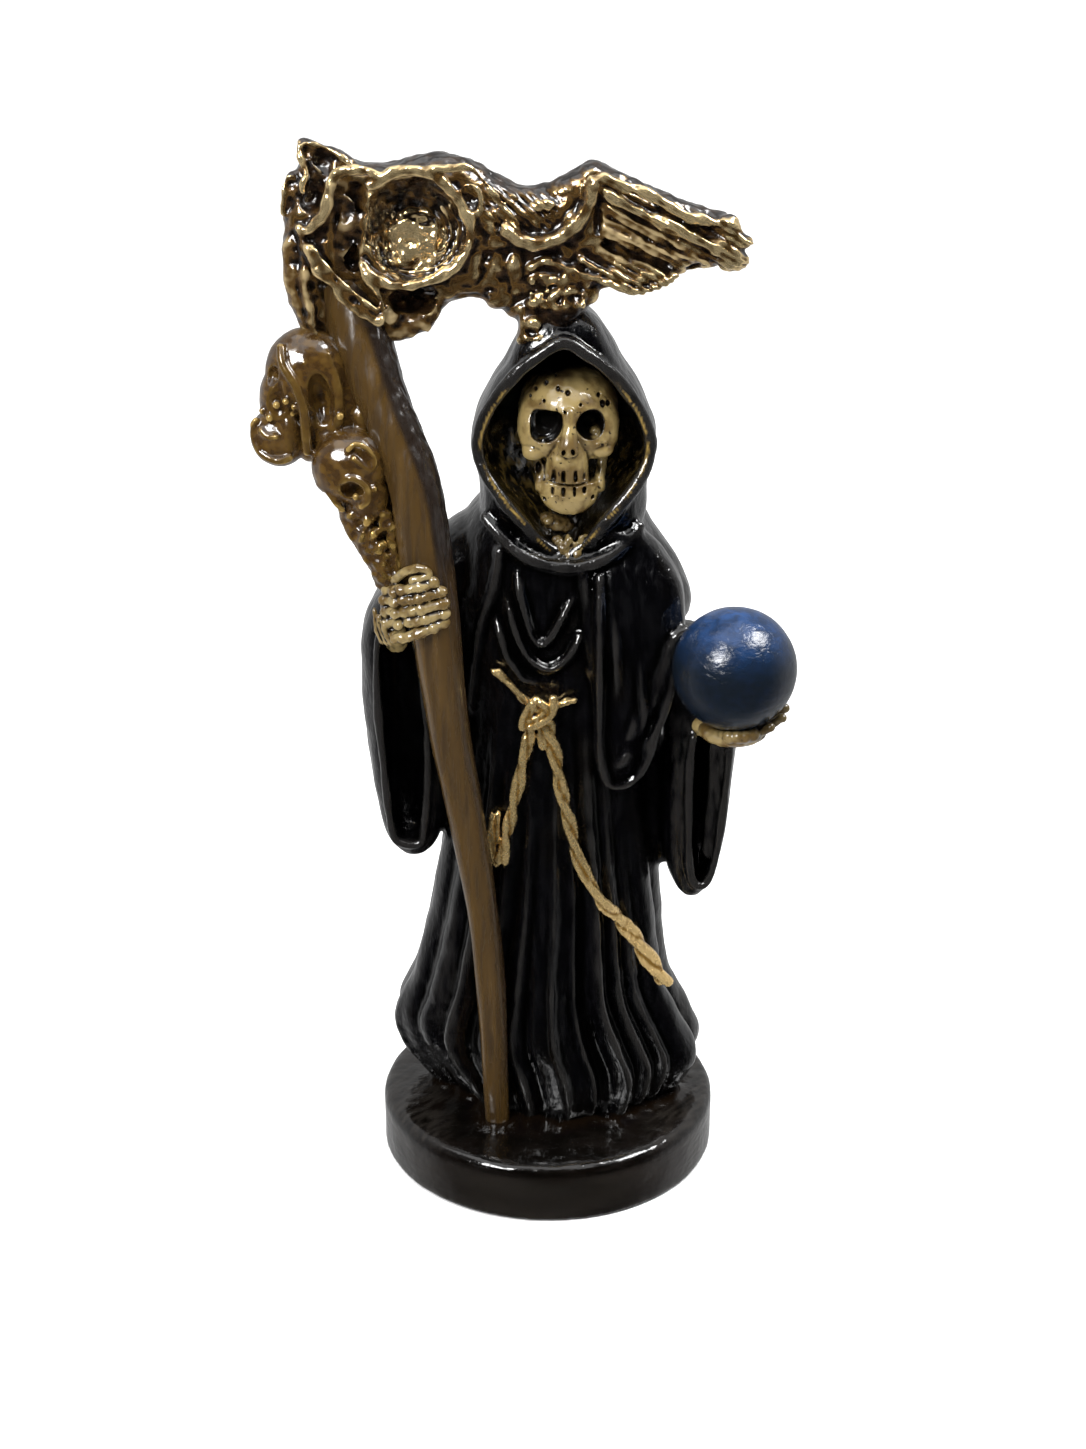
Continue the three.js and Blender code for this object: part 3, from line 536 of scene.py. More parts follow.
robe = {
    # height, left, right, front, back
    "levels": [(-rootDepth, -11.4, 12.7, -7.4, 13.6), (1.6, -12.5, 14, -7.9, 14.2),
               (5, -14.5, 14.9, -7.9, 14.1), (8.5, -15.2, 13.7, -7.7, 13.6),
               (13.2, -13.3, 11.6, -7.5, 12.5), (18, -12.2, 11, -7.4, 11.5), (23, -11.3, 10.8, -7.2, 10.8),
               (30, -10.3, 10.3, -7.1, 9.8), (38, -9.6, 9.9, -6.9, 9.2), (waist, -9.4, 10, -6.8, 8.8),
               (52, -10.4, 11.8, -7.1, 8.8), (57, -10.6, 12.3, -7.1, 8.8), (61, -9.4, 11, -6.9, 8.6),
               (64.6, -7.6, 9.3, -6.4, 8.1), (67, -5.5, 8, -5.2, 7.3)],
    # angle at the hem and at the waist in degrees, -90 is the front; then width and height
    "folds": [(-166, -152, 13, 1.6), (-145, -134, 8, 1.3), (-129, -122, 5.5, 1.8), (-114, -111, 5, 0.8),
              (-101, -99, 4, 1.1), (-83, -90, 11, 1.5), (-84, -88, 3.4, 2.3), (-73, -80, 3, 1.2),
              (-60, -71, 5, 2.1), (-49, -61, 4, 1.1), (-40, -54, 3.6, 1.3), (-26, -43, 11, 2.3),
              (-2, -17, 13, 1.5)] + [(22 + 30 * k, 22 + 30 * k, 14, 0.9) for k in range(6)],
    "square": 2.3,
    # the upper arms, then what joins the right sleeve to the gown: line of (x, y, height, half width) and
    # its depth over its width
    "arms": [([(-4, 1.5, 63, 3.3), (-9.3, 0.6, 58.5, 3.8), (-13.6, -0.6, 53.6, 3.8)], 1.4),
             ([(5.8, 1.5, 63.4, 3.1), (9.2, 0.6, 58, 3.8), (12, -1, 52, 3.9)], 1.4),
             ([(11.2, 0.8, 40, 2.6), (11, 0.9, 32, 2.7), (11.1, 1, 25.4, 1.7)], 1.3)],
    # lines of (x, height): the collar, the folds under it and the edges of the mantle
    "collar": [(-6.4, 65.6), (-4.8, 64), (-3.2, 62.6), (-1.6, 61.7), (0.6, 61.1), (2.6, 61), (5, 61.6),
               (7, 62.7), (8.4, 63.8), (8.9, 65)],
    "chest": [[(-3, 60.5), (-2.8, 58.6), (-2.2, 56.1), (-1.6, 54), (-0.7, 53.1), (0.4, 54.2), (1.3, 55.9),
               (2.8, 58.6)],
              [(-4.1, 58), (-3.4, 55.1), (-2.4, 52.5), (-1.2, 51.1), (0.2, 50.6), (1.6, 51.5), (2.7, 53.1),
               (3.4, 55)],
              [(-5.2, 55.8), (-4.6, 53.8), (-4, 51.7), (-3, 50.2), (-2.4, 49.4), (-0.8, 48.9)]],
    "mantle": [[(-4.6, 62.7), (-4.9, 60.3), (-5.5, 57.8), (-6.5, 54.6), (-7, 51.5), (-7.8, 44)],
               [(3.6, 62), (3.4, 60), (3.9, 56), (4.1, 53.2), (4.3, 49)]],
    "voxel": 0.5 * mm,
    "kept": 0.47,
}
hood = {
    "levels": [(60.5, 6.6, -5.2, 7.8), (65.1, 8.0, -6.3, 8.3), (68, 8.1, -6.4, 8.6), (70, 8.6, -6.3, 8.6),
               (72.4, 8.9, -6, 8.6), (74.9, 8.2, -5.7, 8.3), (77.3, 7, -5.4, 7.8), (79.7, 5.5, -5, 7.1),
               (81.7, 4.5, -4.6, 6.1), (83.7, 3.1, -3.9, 4.4), (85.1, 1.6, -2.4, 2.4)],
    "hollow": [(61.9, 0.5), (63, 1.9), (65.1, 3.6), (67.5, 5.6), (70, 7.3), (72.4, 7.9), (74.9, 7.2),
               (77.3, 5.8), (79.5, 3.9), (81, 2), (81.8, 0.5)],
    "hollowBack": 2.6, "square": 4.5, "rim": 0.66,
}
leftSleeve = {
    "levels": [(29.2, -15, -12.2), (30.2, -16.2, -11.2), (32.7, -17, -10.4), (36, -17.7, -9.9),
               (41, -18.2, -9.5), (46, -18.6, -9), (52, -18.5, -8.6), (55, -17.7, -8.6), (57.5, -16, -8.6)],
    "mouth": [(31, -14.6, -13), (32.3, -15.7, -12.5), (39.6, -16.4, -12), (46, -16.8, -12.2),
              (52.4, -16.7, -12.9), (54, -16, -13.6)],
    "front": -5.4, "back": 3.6, "mouthBack": -0.9,
}
rightSleeve = {
    "levels": [(24.8, 13.6, 15.6), (25.6, 12.8, 16.4), (28.3, 12, 17.6), (33.6, 11.6, 18.4),
               (40.2, 11.5, 18.9), (44.5, 11.2, 19.1), (48.5, 10.6, 17.9), (52, 9.6, 15.4)],
    "mouth": [(26.8, 14.9, 15.9), (28.6, 14.3, 16.7), (33.6, 14.1, 17.4), (40, 14.1, 17.9),
              (43.4, 14.4, 18)],
    "front": -6.2, "back": 3.4, "mouthBack": -1.6,
    "lining": [(17, -5.3, 43, 0.8), (16.9, -5.2, 38, 0.95), (16.6, -5.2, 33, 0.9), (16.2, -5.2, 29, 0.6)],
}
drape = {
    "levels": [(38, 6.2, 7.8), (39, 5.3, 9.1), (41.2, 4.9, 10.1), (45, 4.8, 11.1), (50, 4.8, 12.4),
               (55, 4.6, 13.4), (59, 4.4, 12.8), (62, 4.2, 11), (64, 4.4, 9)],
    "hem": [(4.9, 60.4), (4.9, 56), (5, 50), (5.1, 42), (5.8, 39), (6.8, 38.3), (8.6, 39.1), (9.8, 41.2),
            (11, 45.6), (12.2, 50.6)],
    "folds": [[(8.7, 54.3), (9, 49.3), (9.3, 45.9), (8.6, 43)],
              [(13.2, 54), (11.7, 52.2), (10.5, 48.2), (9.6, 45.5)],
              [(12.4, 50), (11.4, 46.4), (10.2, 43.4), (8.8, 41)],
              [(6.3, 58), (6.6, 52), (6.8, 46)], [(7.3, 42.4), (8.2, 44.6), (8.6, 46.8)],
              [(6.3, 40), (7.4, 41.2), (8.4, 42.8)]],
    "arm": [[(13.6, 55), (11.9, 53.6), (10.5, 49.5), (9.5, 46.5)],
            [(12.3, 51.8), (11.3, 49.6), (10.3, 46.5)]],
}


# Folds stand as round pipes with sharp valleys between them
def foldHeight(angle, height):
    fall = clamp((waist - height) / waist)
    strength = math.sin(fall * math.pi / 2) * (0.6 + 0.4 * clamp(height / 4))
    degrees = math.degrees(angle)
    lift = 0
    for hem, top, width, rise in robe["folds"]:
        centre = mix(hem, top, clamp(height / waist))
        offset = ((degrees - centre + 540) % 360 - 180) / width
        if abs(offset) < 1:
            lift = max(lift, rise * (1 - offset * offset) ** (0.7 if width > 6 else 1.4))
    drawnIn = 2 * gauss((degrees + 140) / 22) * smoothStep(14, 2, height)
    return lift * strength - drawnIn


def robePoint(angle, height):
    _, left, right, front, back = levelAt(robe["levels"], height)
    c, s = superDirection(angle, robe["square"])
    lift = foldHeight(angle, height)
    return ((left + right) / 2 + c * (right - left) / 2 + math.cos(angle) * lift,
            (front + back) / 2 + s * (back - front) / 2 + math.sin(angle) * lift)


def robeFront(x, height):
    low, high = -math.pi, 0.0
    for _ in range(20):
        middle = (low + high) / 2
        if robePoint(middle, height)[0] < x:
            low = middle
        else:
            high = middle
    return robePoint((low + high) / 2, height)[1]


def hoodFront(x, height):
    _, half, front, back = levelAt(hood["levels"], height)
    reach = min(1, abs((x - hoodX) / half)) ** hood["square"]
    return (front + back) / 2 - (1 - reach) ** (1 / hood["square"]) * (back - front) / 2


def onRobe(line, radius, lift):
    return [(x, robeFront(x, min(z, 64)) - lift, z, radius) for x, z in line]


# The ends of a fold sink back into the cloth
def fadeEnds(rows, sink):
    faded = list(rows)
    for i in (0, -1):
        x, y, z, radius = rows[i]
        faded[i] = (x, y + sink, z, radius)
    return faded


def sleeveRows(sleeve):
    rows = []
    for i, (z, left, right) in enumerate(sleeve["levels"]):
        inset = 1.6 if i == 0 else 0
        rows.append((z, left, right, sleeve["front"] + inset * 0.4, sleeve["back"] - inset))
    return rows


def mouthRows(sleeve):
    front, back = sleeve["front"] - 3, sleeve["mouthBack"]
    return [(z, left, right, front, back) for z, left, right in sleeve["mouth"]]


# The collar lies on the chest and bends back round the neck
def collarFront(x):
    return 0.018 * (x - 1.5) ** 2 + 0.0004 * (x - 1.5) ** 4 - 7.3


def drapeFront(height):
    return mix(-8.1, -6.4, smoothStep(56.5, 63, height))


# The gown, mantle, hood and hanging sleeves, melted together as they were cast
def makeRobe():
    bm = bmesh.new()
    top = robe["levels"][-1][0]

    def gown(angle, t):
        height = mix(-rootDepth, top, t)
        x, y = robePoint(angle - 0.3 * math.cos(angle), height)
        return place(x, y, height)

    def cowl(angle, t):
        levels = hood["levels"]
        height, half, front, back = levelAt(levels, mix(levels[0][0], levels[-1][0], t))
        c, s = superDirection(angle, hood["square"] if math.sin(angle) < 0 else 2.1)
        return place(hoodX + c * half, (front + back) / 2 + s * (back - front) / 2, height)

    addSkin(bm, 320, 90, gown)
    addSkin(bm, 64, 50, cowl)
    for line, depth in robe["arms"]:
        addLimb(bm, line, depth, 24)
    for sleeve in (leftSleeve, rightSleeve):
        addUpright(bm, sleeveRows(sleeve), 2.8)
    addUpright(bm, [(z, left, right, drapeFront(z), -2.4) for z, left, right in drape["levels"]], 3.2)
    addLimb(bm, [(x, drapeFront(z) + 0.7, z, 0.6) for x, z in drape["hem"]], 1.4)
    piece = melt(keep(bm, "robe"), robe["voxel"])

    cutters = bmesh.new()

    def hollow(angle, t):
        levels, front, back = hood["hollow"], -10, hood["hollowBack"]
        height, half = levelAt(levels, mix(levels[0][0], levels[-1][0], t))
        c, s = superDirection(angle, 6 if math.sin(angle) < 0 else 2)
        return place(hoodX + c * half, (back + front) / 2 + s * (back - front) / 2, height)

    addSkin(cutters, 48, 40, hollow)
    for sleeve in (leftSleeve, rightSleeve):
        addUpright(cutters, mouthRows(sleeve), 3)
    cutAway(piece, cutters)

    trim = bmesh.new()
    side = [(half + hood["rim"] / 2, height) for height, half in hood["hollow"][1:-1]]
    outline = ([(0, hood["hollow"][0][0] - 0.3)] + side + [(0, hood["hollow"][-1][0] + 0.4)]
               + [(-half, height) for half, height in reversed(side)] + [(0, hood["hollow"][0][0] - 0.3)])
    rim = [(hoodX + x, hoodFront(hoodX + x, z) - 0.3, z, hood["rim"]) for x, z in outline]
    addLimb(trim, rim, 0.9, 12, 150)
    addLimb(trim, [(x, collarFront(x), z, 0.62) for x, z in robe["collar"]], 1, 16, 90)
    for fold in robe["chest"]:
        addLimb(trim, fadeEnds(onRobe(fold, 0.32, 0.45), 0.9), 1.4, 12, 60)
    for edge in robe["mantle"]:
        addLimb(trim, onRobe(edge, 0.5, 0.1))
    for line in drape["folds"]:
        addLimb(trim, fadeEnds([(x, drapeFront(z) - 0.1, z, 0.4) for x, z in line], 0.7))
    addLimb(trim, [(x, drapeFront(z), z, 0.32) for x, z in drape["hem"]], 1.4, 12, 90)
    for line in drape["arm"]:
        addLimb(trim, fadeEnds([(x, drapeFront(z) + 0.1, z, 0.42) for x, z in line], 0.7), 1.4)
    addLimb(trim, rightSleeve["lining"])
    for sleeve in (leftSleeve, rightSleeve):
        mouth = sleeve["mouth"]
        outline = [(left, z) for z, left, _ in reversed(mouth)] + [(right, z) for z, _, right in mouth]
        addLimb(trim, [(x, sleeve["front"] - 0.3, z, 0.42) for x, z in outline], 1.2, 12, 90)
    addOnto(piece, trim, robe["voxel"])
    carve(piece, 2, lambda x, y, z: 0.1 * ripple(x, y, z / 4, 1.6, 3) + 0.12 * ripple(x, y, z, 2.5))
    markRelief(piece, 14, 0.35 * mm)
    thin(piece, robe["kept"])
    markArea(piece, "tint", hoodBronze)
    # The side mark: painted grey sheen on the cuffs
    markArea(piece, "side", cuffSheen)
    return piece


# Painted grey sheen on the flat cuffs round the sleeve mouths, streaked like brush strokes; stronger at the
# left sleeve's outer edge and on the right sleeve
def cuffSheen(x, y, z, normal):
    area = smoothStep(-0.3, -0.7, normal.y) * smoothStep(54, 50, z)
    left = smoothStep(-4.2, -4.9, y) * smoothStep(-9, -10, x)
    right = smoothStep(-4.8, -5.5, y) * smoothStep(11.6, 12.4, x) * smoothStep(46, 44, z)
    strokes = smoothStep(-0.45, 0.25, ripple(x * 1.2 - z * 0.5, y, z / 3 + x, 0.7, 8))
    sheenGain = 0.55 + 0.45 * smoothStep(-15.5, -16.6, x) + 0.3 * smoothStep(0, 2, x)
    return clamp(area * max(left, right) * strokes * sheenGain)


# Bronze left by a dry brush low inside the hood and along the inner edge of its rim
def hoodBronze(x, y, z, normal):
    _, half = levelAt(hood["hollow"], z)
    reach = abs(x - hoodX)
    line = gauss((reach - half - 0.02) / 0.09) * smoothStep(-3.8, -4.6, y) * smoothStep(62, 63.5, z)
    line *= smoothStep(-0.35, 0.1, ripple(x, y, z, 1.6, 9)) * smoothStep(79, 77, z)
    inside = smoothStep(-4.4, -3, y) * smoothStep(62, 63.5, z) * smoothStep(74, 69, z)
    inside *= smoothStep(3.4, 2.2, y) * smoothStep(half + 0.6, half + 0.3, reach)
    inside *= mix(0.4, 1, smoothStep(3, -2, x))
    streaks = smoothStep(-0.05, 0.4, ripple(x * 1.6 + z * 0.5, y * 1.6, z / 2, 0.6))
    return clamp(max(line, 0.75 * inside * streaks))


def makePlinth():
    bm = bmesh.new()
    lift = Matrix.Translation((0, 0, plinth["height"] / 2))
    radius = plinth["radius"]
    bmesh.ops.create_cone(bm, cap_ends=True, segments=180, radius1=radius, radius2=radius,
                          depth=plinth["height"], matrix=lift)
    edges = ((plinth["height"], plinth["topRound"], 8), (0, plinth["footChamfer"], 3))
    for height, offset, segments in edges:
        rim = [e for e in bm.edges if all(abs(v.co.z - height) < 1e-5 for v in e.verts)]
        bmesh.ops.bevel(bm, geom=rim, offset=offset, segments=segments, profile=0.5, affect="EDGES",
                        material=-1)
    piece = melt(keep(bm, "plinth"), plinth["voxel"])

    # Lacquer runs thick round the hem and the staff's foot, and the cast side is not quite true
    def runs(x, y, z):
        if z < -0.3:
            return 0.05 * ripple(x, y, z, 2.5)
        return 0.3 * poolArea(x, y, z) + 0.05 * ripple(x, y, z, 1.2)

    carve(piece, 1, runs)
    markRelief(piece, 10, 0.3 * mm)
    markArea(piece, "tint", poolArea)
    # The side mark: painted grey sheen on the plinth's side and the ends of its top
    markArea(piece, "side", plinthSheen)
    return piece


# Painted grey sheen on the plinth's side, and grey brush streaks over both ends of its top that are partly
# scuffed lacquer, partly painted sheen
def plinthSheen(x, y, z, normal):
    side = smoothStep(-0.9, -1.6, z) * (0.7 + 0.6 * ripple(x, y, z / 0.4, 6))
    strokes = smoothStep(-0.3, 0.3, ripple(x * 1.4 - y, y / 2, 0, 0.8, 12))
    return max(side, smoothStep(9, 12.5, abs(x)) * strokes * smoothStep(-0.8, -0.3, z))


def poolArea(x, y, z, normal=None):
    angle = math.atan2(y - 3, x)
    hemX, hemY = robePoint(angle, 0.5)
    beyond = math.hypot(x, y - 3) - math.hypot(hemX, hemY - 3)
    hem = gauss((beyond - 0.3) / (0.9 + 0.5 * ripple(x, y, 0, 2.2))) * smoothStep(3, -2, y)
    foot = gauss((math.hypot(x + 5.3, y + 8.2) - 1.6) / 0.9)
    return clamp(max(hem, foot)) * smoothStep(-0.8, -0.1, z)


staff = {
    # x, y, height, half width
    "line": [(-5.3, -8.2, -rootDepth, 1.25), (-5.8, -8.4, 15.3, 1.55), (-6.7, -8.4, 25.2, 1.62),
             (-8.1, -8.3, 35, 1.83), (-9.4, -8.3, 42.7, 2), (-10.3, -8.4, 50, 2.2), (-11.1, -8.2, 58, 2.5),
             (-12.4, -7.3, 68.2, 2.5), (-14.1, -6.1, 73.3, 2.45), (-15.5, -5, 76.7, 2.45),
             (-17.3, -3.2, 81.6, 2.85), (-19, -1.2, 87, 2.6)],
    "voxel": 0.4 * mm,
}


def staffSide(x, z):
    rows = [(height, centre, half) for centre, _, height, half in staff["line"]]
    _, centre, half = levelAt(rows, z)
    return (x - centre) / half


# The carved stick: worn round below, and above the hand a flat front with a rib at its left edge
def makeStaff():
    bm = bmesh.new()
    addLimb(bm, staff["line"], 0.95, 32, 160, blunt=True)
    for side, front, radius in ((-0.88, 0.3, 0.36), (0.3, 0.84, 0.36)):
        addLimb(bm, [(x + side * half, y - front * half, z, radius) for x, y, z, half in staff["line"][6:]])
    piece = melt(keep(bm, "staff"), staff["voxel"])

    # The right of the stick is rougher than its worn front
    def whittled(x, y, z):
        right = smoothStep(0.25, 0.6, staffSide(x, z)) * smoothStep(55, 62, z)
        return 0.1 * ripple(x, y, z / 9, 1.1, 7) + 0.14 * right * ripple(x, y, z / 5, 0.5)

    carve(piece, 3, whittled)
    markRelief(piece, 14, 0.3 * mm)
    markArea(piece, "tint", robeSideShade)
    return piece


# Painted shade on the stick's side by the robe, above the hand most of all
def robeSideShade(x, y, z, normal):
    side = staffSide(x, z)
    above = smoothStep(0.25, 0.5, side) * smoothStep(56, 64, z)
    return max(above, 0.6 * smoothStep(0.3, 0.95, side) * smoothStep(2, 8, z))


staffSkulls = {
    # centre and half sizes: an upper skull that looks left, its jaw, a lower skull that looks ahead
    "forms": [((-22.6, -3.6, 79.1), (4.1, 3.4, 4.3)), ((-25.2, -3.8, 76.6), (2.1, 2.7, 3.4)),
              ((-25.5, -4, 73), (2.8, 2.5, 2.9)), ((-24.4, -5.2, 73.8), (1.2, 1.6, 2.3)),
              ((-18.7, -6.5, 70.8), (3.7, 3.2, 3.6)), ((-17, -6.7, 68), (2.1, 2.5, 2.3)),
              ((-21, -6, 69.6), (1.2, 1.8, 1.5)), ((-17.6, -4.6, 74.6), (1.2, 1.6, 2.2)),
              ((-22.6, -4.4, 72), (1.2, 1.5, 1.4))],
    "recesses": [((-25.3, -7.5, 77.2), (1.6, 1.7, 2.6), 12), ((-25.8, -6.4, 79.3), (0.65, 1.6, 1.1), 20),
                 ((-24.3, -6.6, 78.3), (0.6, 1.4, 1.1), 10), ((-21.3, -7, 77.2), (1.15, 2.1, 2.6), -6),
                 ((-18.4, -9.9, 69.3), (1.15, 1.9, 1.1), 0), ((-20.9, -8, 67.9), (0.6, 1.6, 1.2), 20)],
    # lines of (x, y, height) with their half width: band, rim, jaw lips, eye ring, cheek edges
    "ridges": [([(-24.9, -5.4, 82.4), (-24.6, -6.5, 80.6), (-23.5, -7.1, 78.8), (-22.8, -7.2, 76.4),
                 (-22.7, -7, 73.8), (-22.6, -6.6, 71.8)], 0.5),
               ([(-20.8, -5.6, 81.8), (-19.9, -6, 79.2), (-19.6, -6.2, 77.2), (-19.7, -6.4, 75),
                 (-20.7, -6.2, 73.2), (-21.9, -6, 71.6)], 0.5),
               ([(-27.4, -5.2, 75.2), (-27.8, -5.2, 73.6), (-27.2, -5.8, 72), (-25.6, -6.4, 71.3),
                 (-24, -6.2, 71.6)], 0.4),
               ([(-27.2, -5.6, 74.4), (-26.4, -6.2, 73.6), (-25.2, -6.6, 73.7)], 0.34),
               ([(-18.8, -9.2, 73), (-18, -9.2, 73.7), (-16.9, -9, 73.3), (-16.2, -8.8, 72),
                 (-16.7, -9, 71.1), (-17.6, -9.4, 71.9), (-18.3, -9.4, 72.6)], 0.28),
               ([(-21.9, -7.4, 69.6), (-20.8, -8.2, 68.9), (-20, -8.4, 67.8), (-19.3, -8, 66.8)], 0.32),
               ([(-19.9, -9, 69.8), (-18.4, -9.7, 70.6), (-17.1, -9.5, 69.8), (-16.9, -9.4, 68.4),
                 (-17.8, -9.4, 67.5)], 0.36)],
    "tail": ([(-19.3, -6.4, 67.6), (-17.7, -6.9, 64.6), (-16, -7.4, 61.9), (-14.8, -7.9, 58.6)], 1.45),
    "slots": [([(-27, -6.7, 72.7), (-25.6, -7.2, 72.6), (-24.6, -7, 72.9)], 0.15),
              ([(-27.9, -5.8, 74.4), (-27.3, -6.2, 73.4), (-26.9, -6.4, 72.9)], 0.14)],
    "backing": [((-20.2, -3.2, 81), 1.6), ((-19.6, -3.4, 77.5), 2.9), ((-20.2, -4.2, 73.3), 3.2),
                ((-17.4, -5.2, 69.4), 2.7), ((-15.8, -6, 65), 1.9), ((-14.4, -6.8, 61), 1.4),
                ((-14, -7, 58.6), 1)],
    # centre and size of each bead: cheekbones, teeth and what glints in the sockets
    "beads": [(-25.4, -6.4, 76.7, 0.4), (-24.5, -6.6, 77.1, 0.36), (-23.7, -6.8, 76.6, 0.36),
              (-23.9, -6.6, 75.9, 0.3), (-26.8, -5.6, 75.9, 0.4), (-26.1, -6.2, 75.4, 0.4),
              (-27.7, -5.2, 74.4, 0.45), (-18, -9.1, 68.6, 0.4), (-17.2, -9.3, 68.8, 0.34),
              (-22.6, -6.6, 80.7, 0.3), (-16.4, -8.9, 69.3, 0.4), (-19.4, -7.4, 75.9, 0.4)],
    # on the tail: sizes of the knobs from the top, a cord beside them, and heaps of crumbs as two corners,
    # count, sizes and seed
    "knobs": (1, 0.85, 1.05, 0.75, 0.8),
    "cord": [(-15.2, -8, 67, 0.45), (-14.8, -8.2, 64.6, 0.5), (-14.4, -8.4, 62, 0.45),
             (-13.9, -8.6, 60, 0.4)],
    "crumbs": [((-18, -8.6, 64.2), (-15.4, -8.2, 67), 13, (0.22, 0.4), 4),
               ((-16.5, -8.7, 60.6), (-14.6, -8.3, 64.2), 12, (0.2, 0.36), 14)],
    "voxel": 0.3 * mm,
}


# The two small skulls carved beside the shaft, and the knobbly tail below them
def makeStaffSkulls():
    bm = bmesh.new()
    for centre, half in staffSkulls["forms"]:
        addEgg(bm, centre, half)
    addRod(bm, *staffSkulls["tail"])
    addLimb(bm, [(*co, half) for co, half in staffSkulls["backing"]], 0.8, 24)
    piece = melt(keep(bm, "staff_skulls"), staffSkulls["voxel"])
    cutters = bmesh.new()
    for centre, half, tilt in staffSkulls["recesses"]:
        addEgg(cutters, centre, half, tilt=tilt)
    for line, radius in staffSkulls["slots"]:
        addRod(cutters, line, radius, 3)
    cutAway(piece, cutters)
    bm = bmesh.new()
    for line, radius in staffSkulls["ridges"]:
        addRod(bm, line, radius)
    for x, y, z, size in staffSkulls["beads"]:
        addEgg(bm, (x, y, z), [size] * 3, 14, 10)
    for k, size in enumerate(staffSkulls["knobs"]):
        left = (-18.5 + 0.95 * k, -7.8 - 0.08 * k, 66.4 - 1.45 * k)
        right = (-17 + 0.5 * k, -8.2 - 0.06 * k, 66.2 - 1.45 * k)
        addEgg(bm, left, (0.8 * size, 0.7, 0.6 * size), 16, 12, tilt=-35)
        addEgg(bm, right, (0.62 * size, 0.8, 0.8 * size), 16, 12, tilt=25)
    addLimb(bm, staffSkulls["cord"])
    for heap in staffSkulls["crumbs"]:
        addCrumbs(bm, *heap)
    addOnto(piece, bm, staffSkulls["voxel"])

    # The tail is the roughest part, and the most golden
    def knobbly(x, y, z):
        return 0.24 * ripple(x, y, z, 0.8) * smoothStep(68, 65, z) + 0.05 * ripple(x, y, z, 1.1)

    carve(piece, 2, knobbly)
    markRelief(piece, 22, 0.5 * mm)
    markArea(piece, "gilt", lambda x, y, z, normal: mix(0.65, 1, smoothStep(68, 65, z)))
    return piece


rightHand = {
    # the joints of each finger as (x, height) from the knuckle on, and how far forward each joint lies
    "fingers": [[(-15.3, 59.2), (-13.9, 59.8), (-12.2, 60.3), (-10.9, 60.7)],
                [(-15.6, 58.2), (-13.7, 58.8), (-12.2, 59.2), (-10.2, 59.8)],
                [(-15.5, 57.1), (-13.6, 57.6), (-12, 58.1), (-9.9, 58.6)],
                [(-15.3, 55.9), (-13.2, 56.6), (-11.6, 57.1), (-9.9, 57.6)],
                [(-15.2, 54.7), (-13.9, 55), (-12.4, 55.6), (-10.9, 56.2), (-10, 56.7)]],
    "depths": (-8.7, -10.4, -11, -10.9, -10.8),
    "thumb": [(-14.9, -9, 60), (-13.5, -10.2, 61.6), (-12.1, -10.8, 62.1), (-11.3, -10.9, 61.7),
              (-11.9, -10.9, 61.1), (-13.2, -10.6, 60.7)],
    # x, y, height, half width
    "back": [(-15, -8, 59.4, 0.95), (-15.1, -8.1, 56.6, 1.05), (-14.8, -7.8, 55, 0.95),
             (-14.4, -7.2, 54.4, 0.9)],
    "wrist": [(-15, -6.8, 54.6, 1.1), (-14.8, -3.4, 51.5, 1.2)],
    "voxel": 0.2 * mm,
}


# The bony hand wrapped round the shaft: the thumb's loop, then five rows of bone one above another
def makeRightHand():
    bm = bmesh.new()
    depths, tilt = rightHand["depths"], -15
    for row in rightHand["fingers"]:
        addLimb(bm, [(x, depth, z, 0.5) for (x, z), depth in zip(row, depths)])
        for (x, z), depth in zip(row, depths):
            addEgg(bm, (x, depth, z), (0.7, 0.6, 0.57), 16, 10, tilt)
        for (x0, z0), (x1, z1), depth in zip(row, row[1:], depths[1:]):
            middle = (mix(x0, x1, 0.5), depth + 0.1, mix(z0, z1, 0.5))
            addEgg(bm, middle, (0.6, 0.5, 0.47), 16, 10, tilt)
    addRod(bm, rightHand["thumb"], 0.42)
    addLimb(bm, rightHand["back"])
    addLimb(bm, rightHand["wrist"])
    # Tendons side by side down the back of the hand
    for k in range(3):
        x, y = 0.42 * k, -0.35 * k
        addLimb(bm, [(-16.7 + x, -8.2 + y, 57.2 - 0.5 * k, 0.22), (-16.5 + x, -8.4 + y, 55.2, 0.24),
                     (-15.9 + x, -8.4 + y, 53.4 + 0.1 * k, 0.22)])
    piece = melt(keep(bm, "right_hand"), rightHand["voxel"])
    carve(piece, 1, lambda x, y, z: 0.12 * ripple(x, y, z, 0.7))
    markRelief(piece, 20, 0.26 * mm)
    markArea(piece, "dark", lambda x, y, z, normal: 0)
    return piece


leftHand = {
    # bearing round the ball of each bone of the palm and of each finger, -90 is the front, with how far it
    # reaches up the ball; both in degrees
    "palm": ((-114, 27), (-100, 32), (-86, 34), (-72, 35), (-58, 36)),
    "fingers": ((-40, 42), (-18, 47), (4, 50)),
    "heel": (3.4, 3.2, 1.2),
    # x, y, height, half width
    "wrist": [(17.2, -7.4, 44.8, 1.1), (15.2, -5.4, 44, 1.3), (14.2, -2.4, 43.6, 1.4)],
    "gap": 0.3 * mm, "radius": 1.25 * mm, "voxel": 0.24 * mm,
}


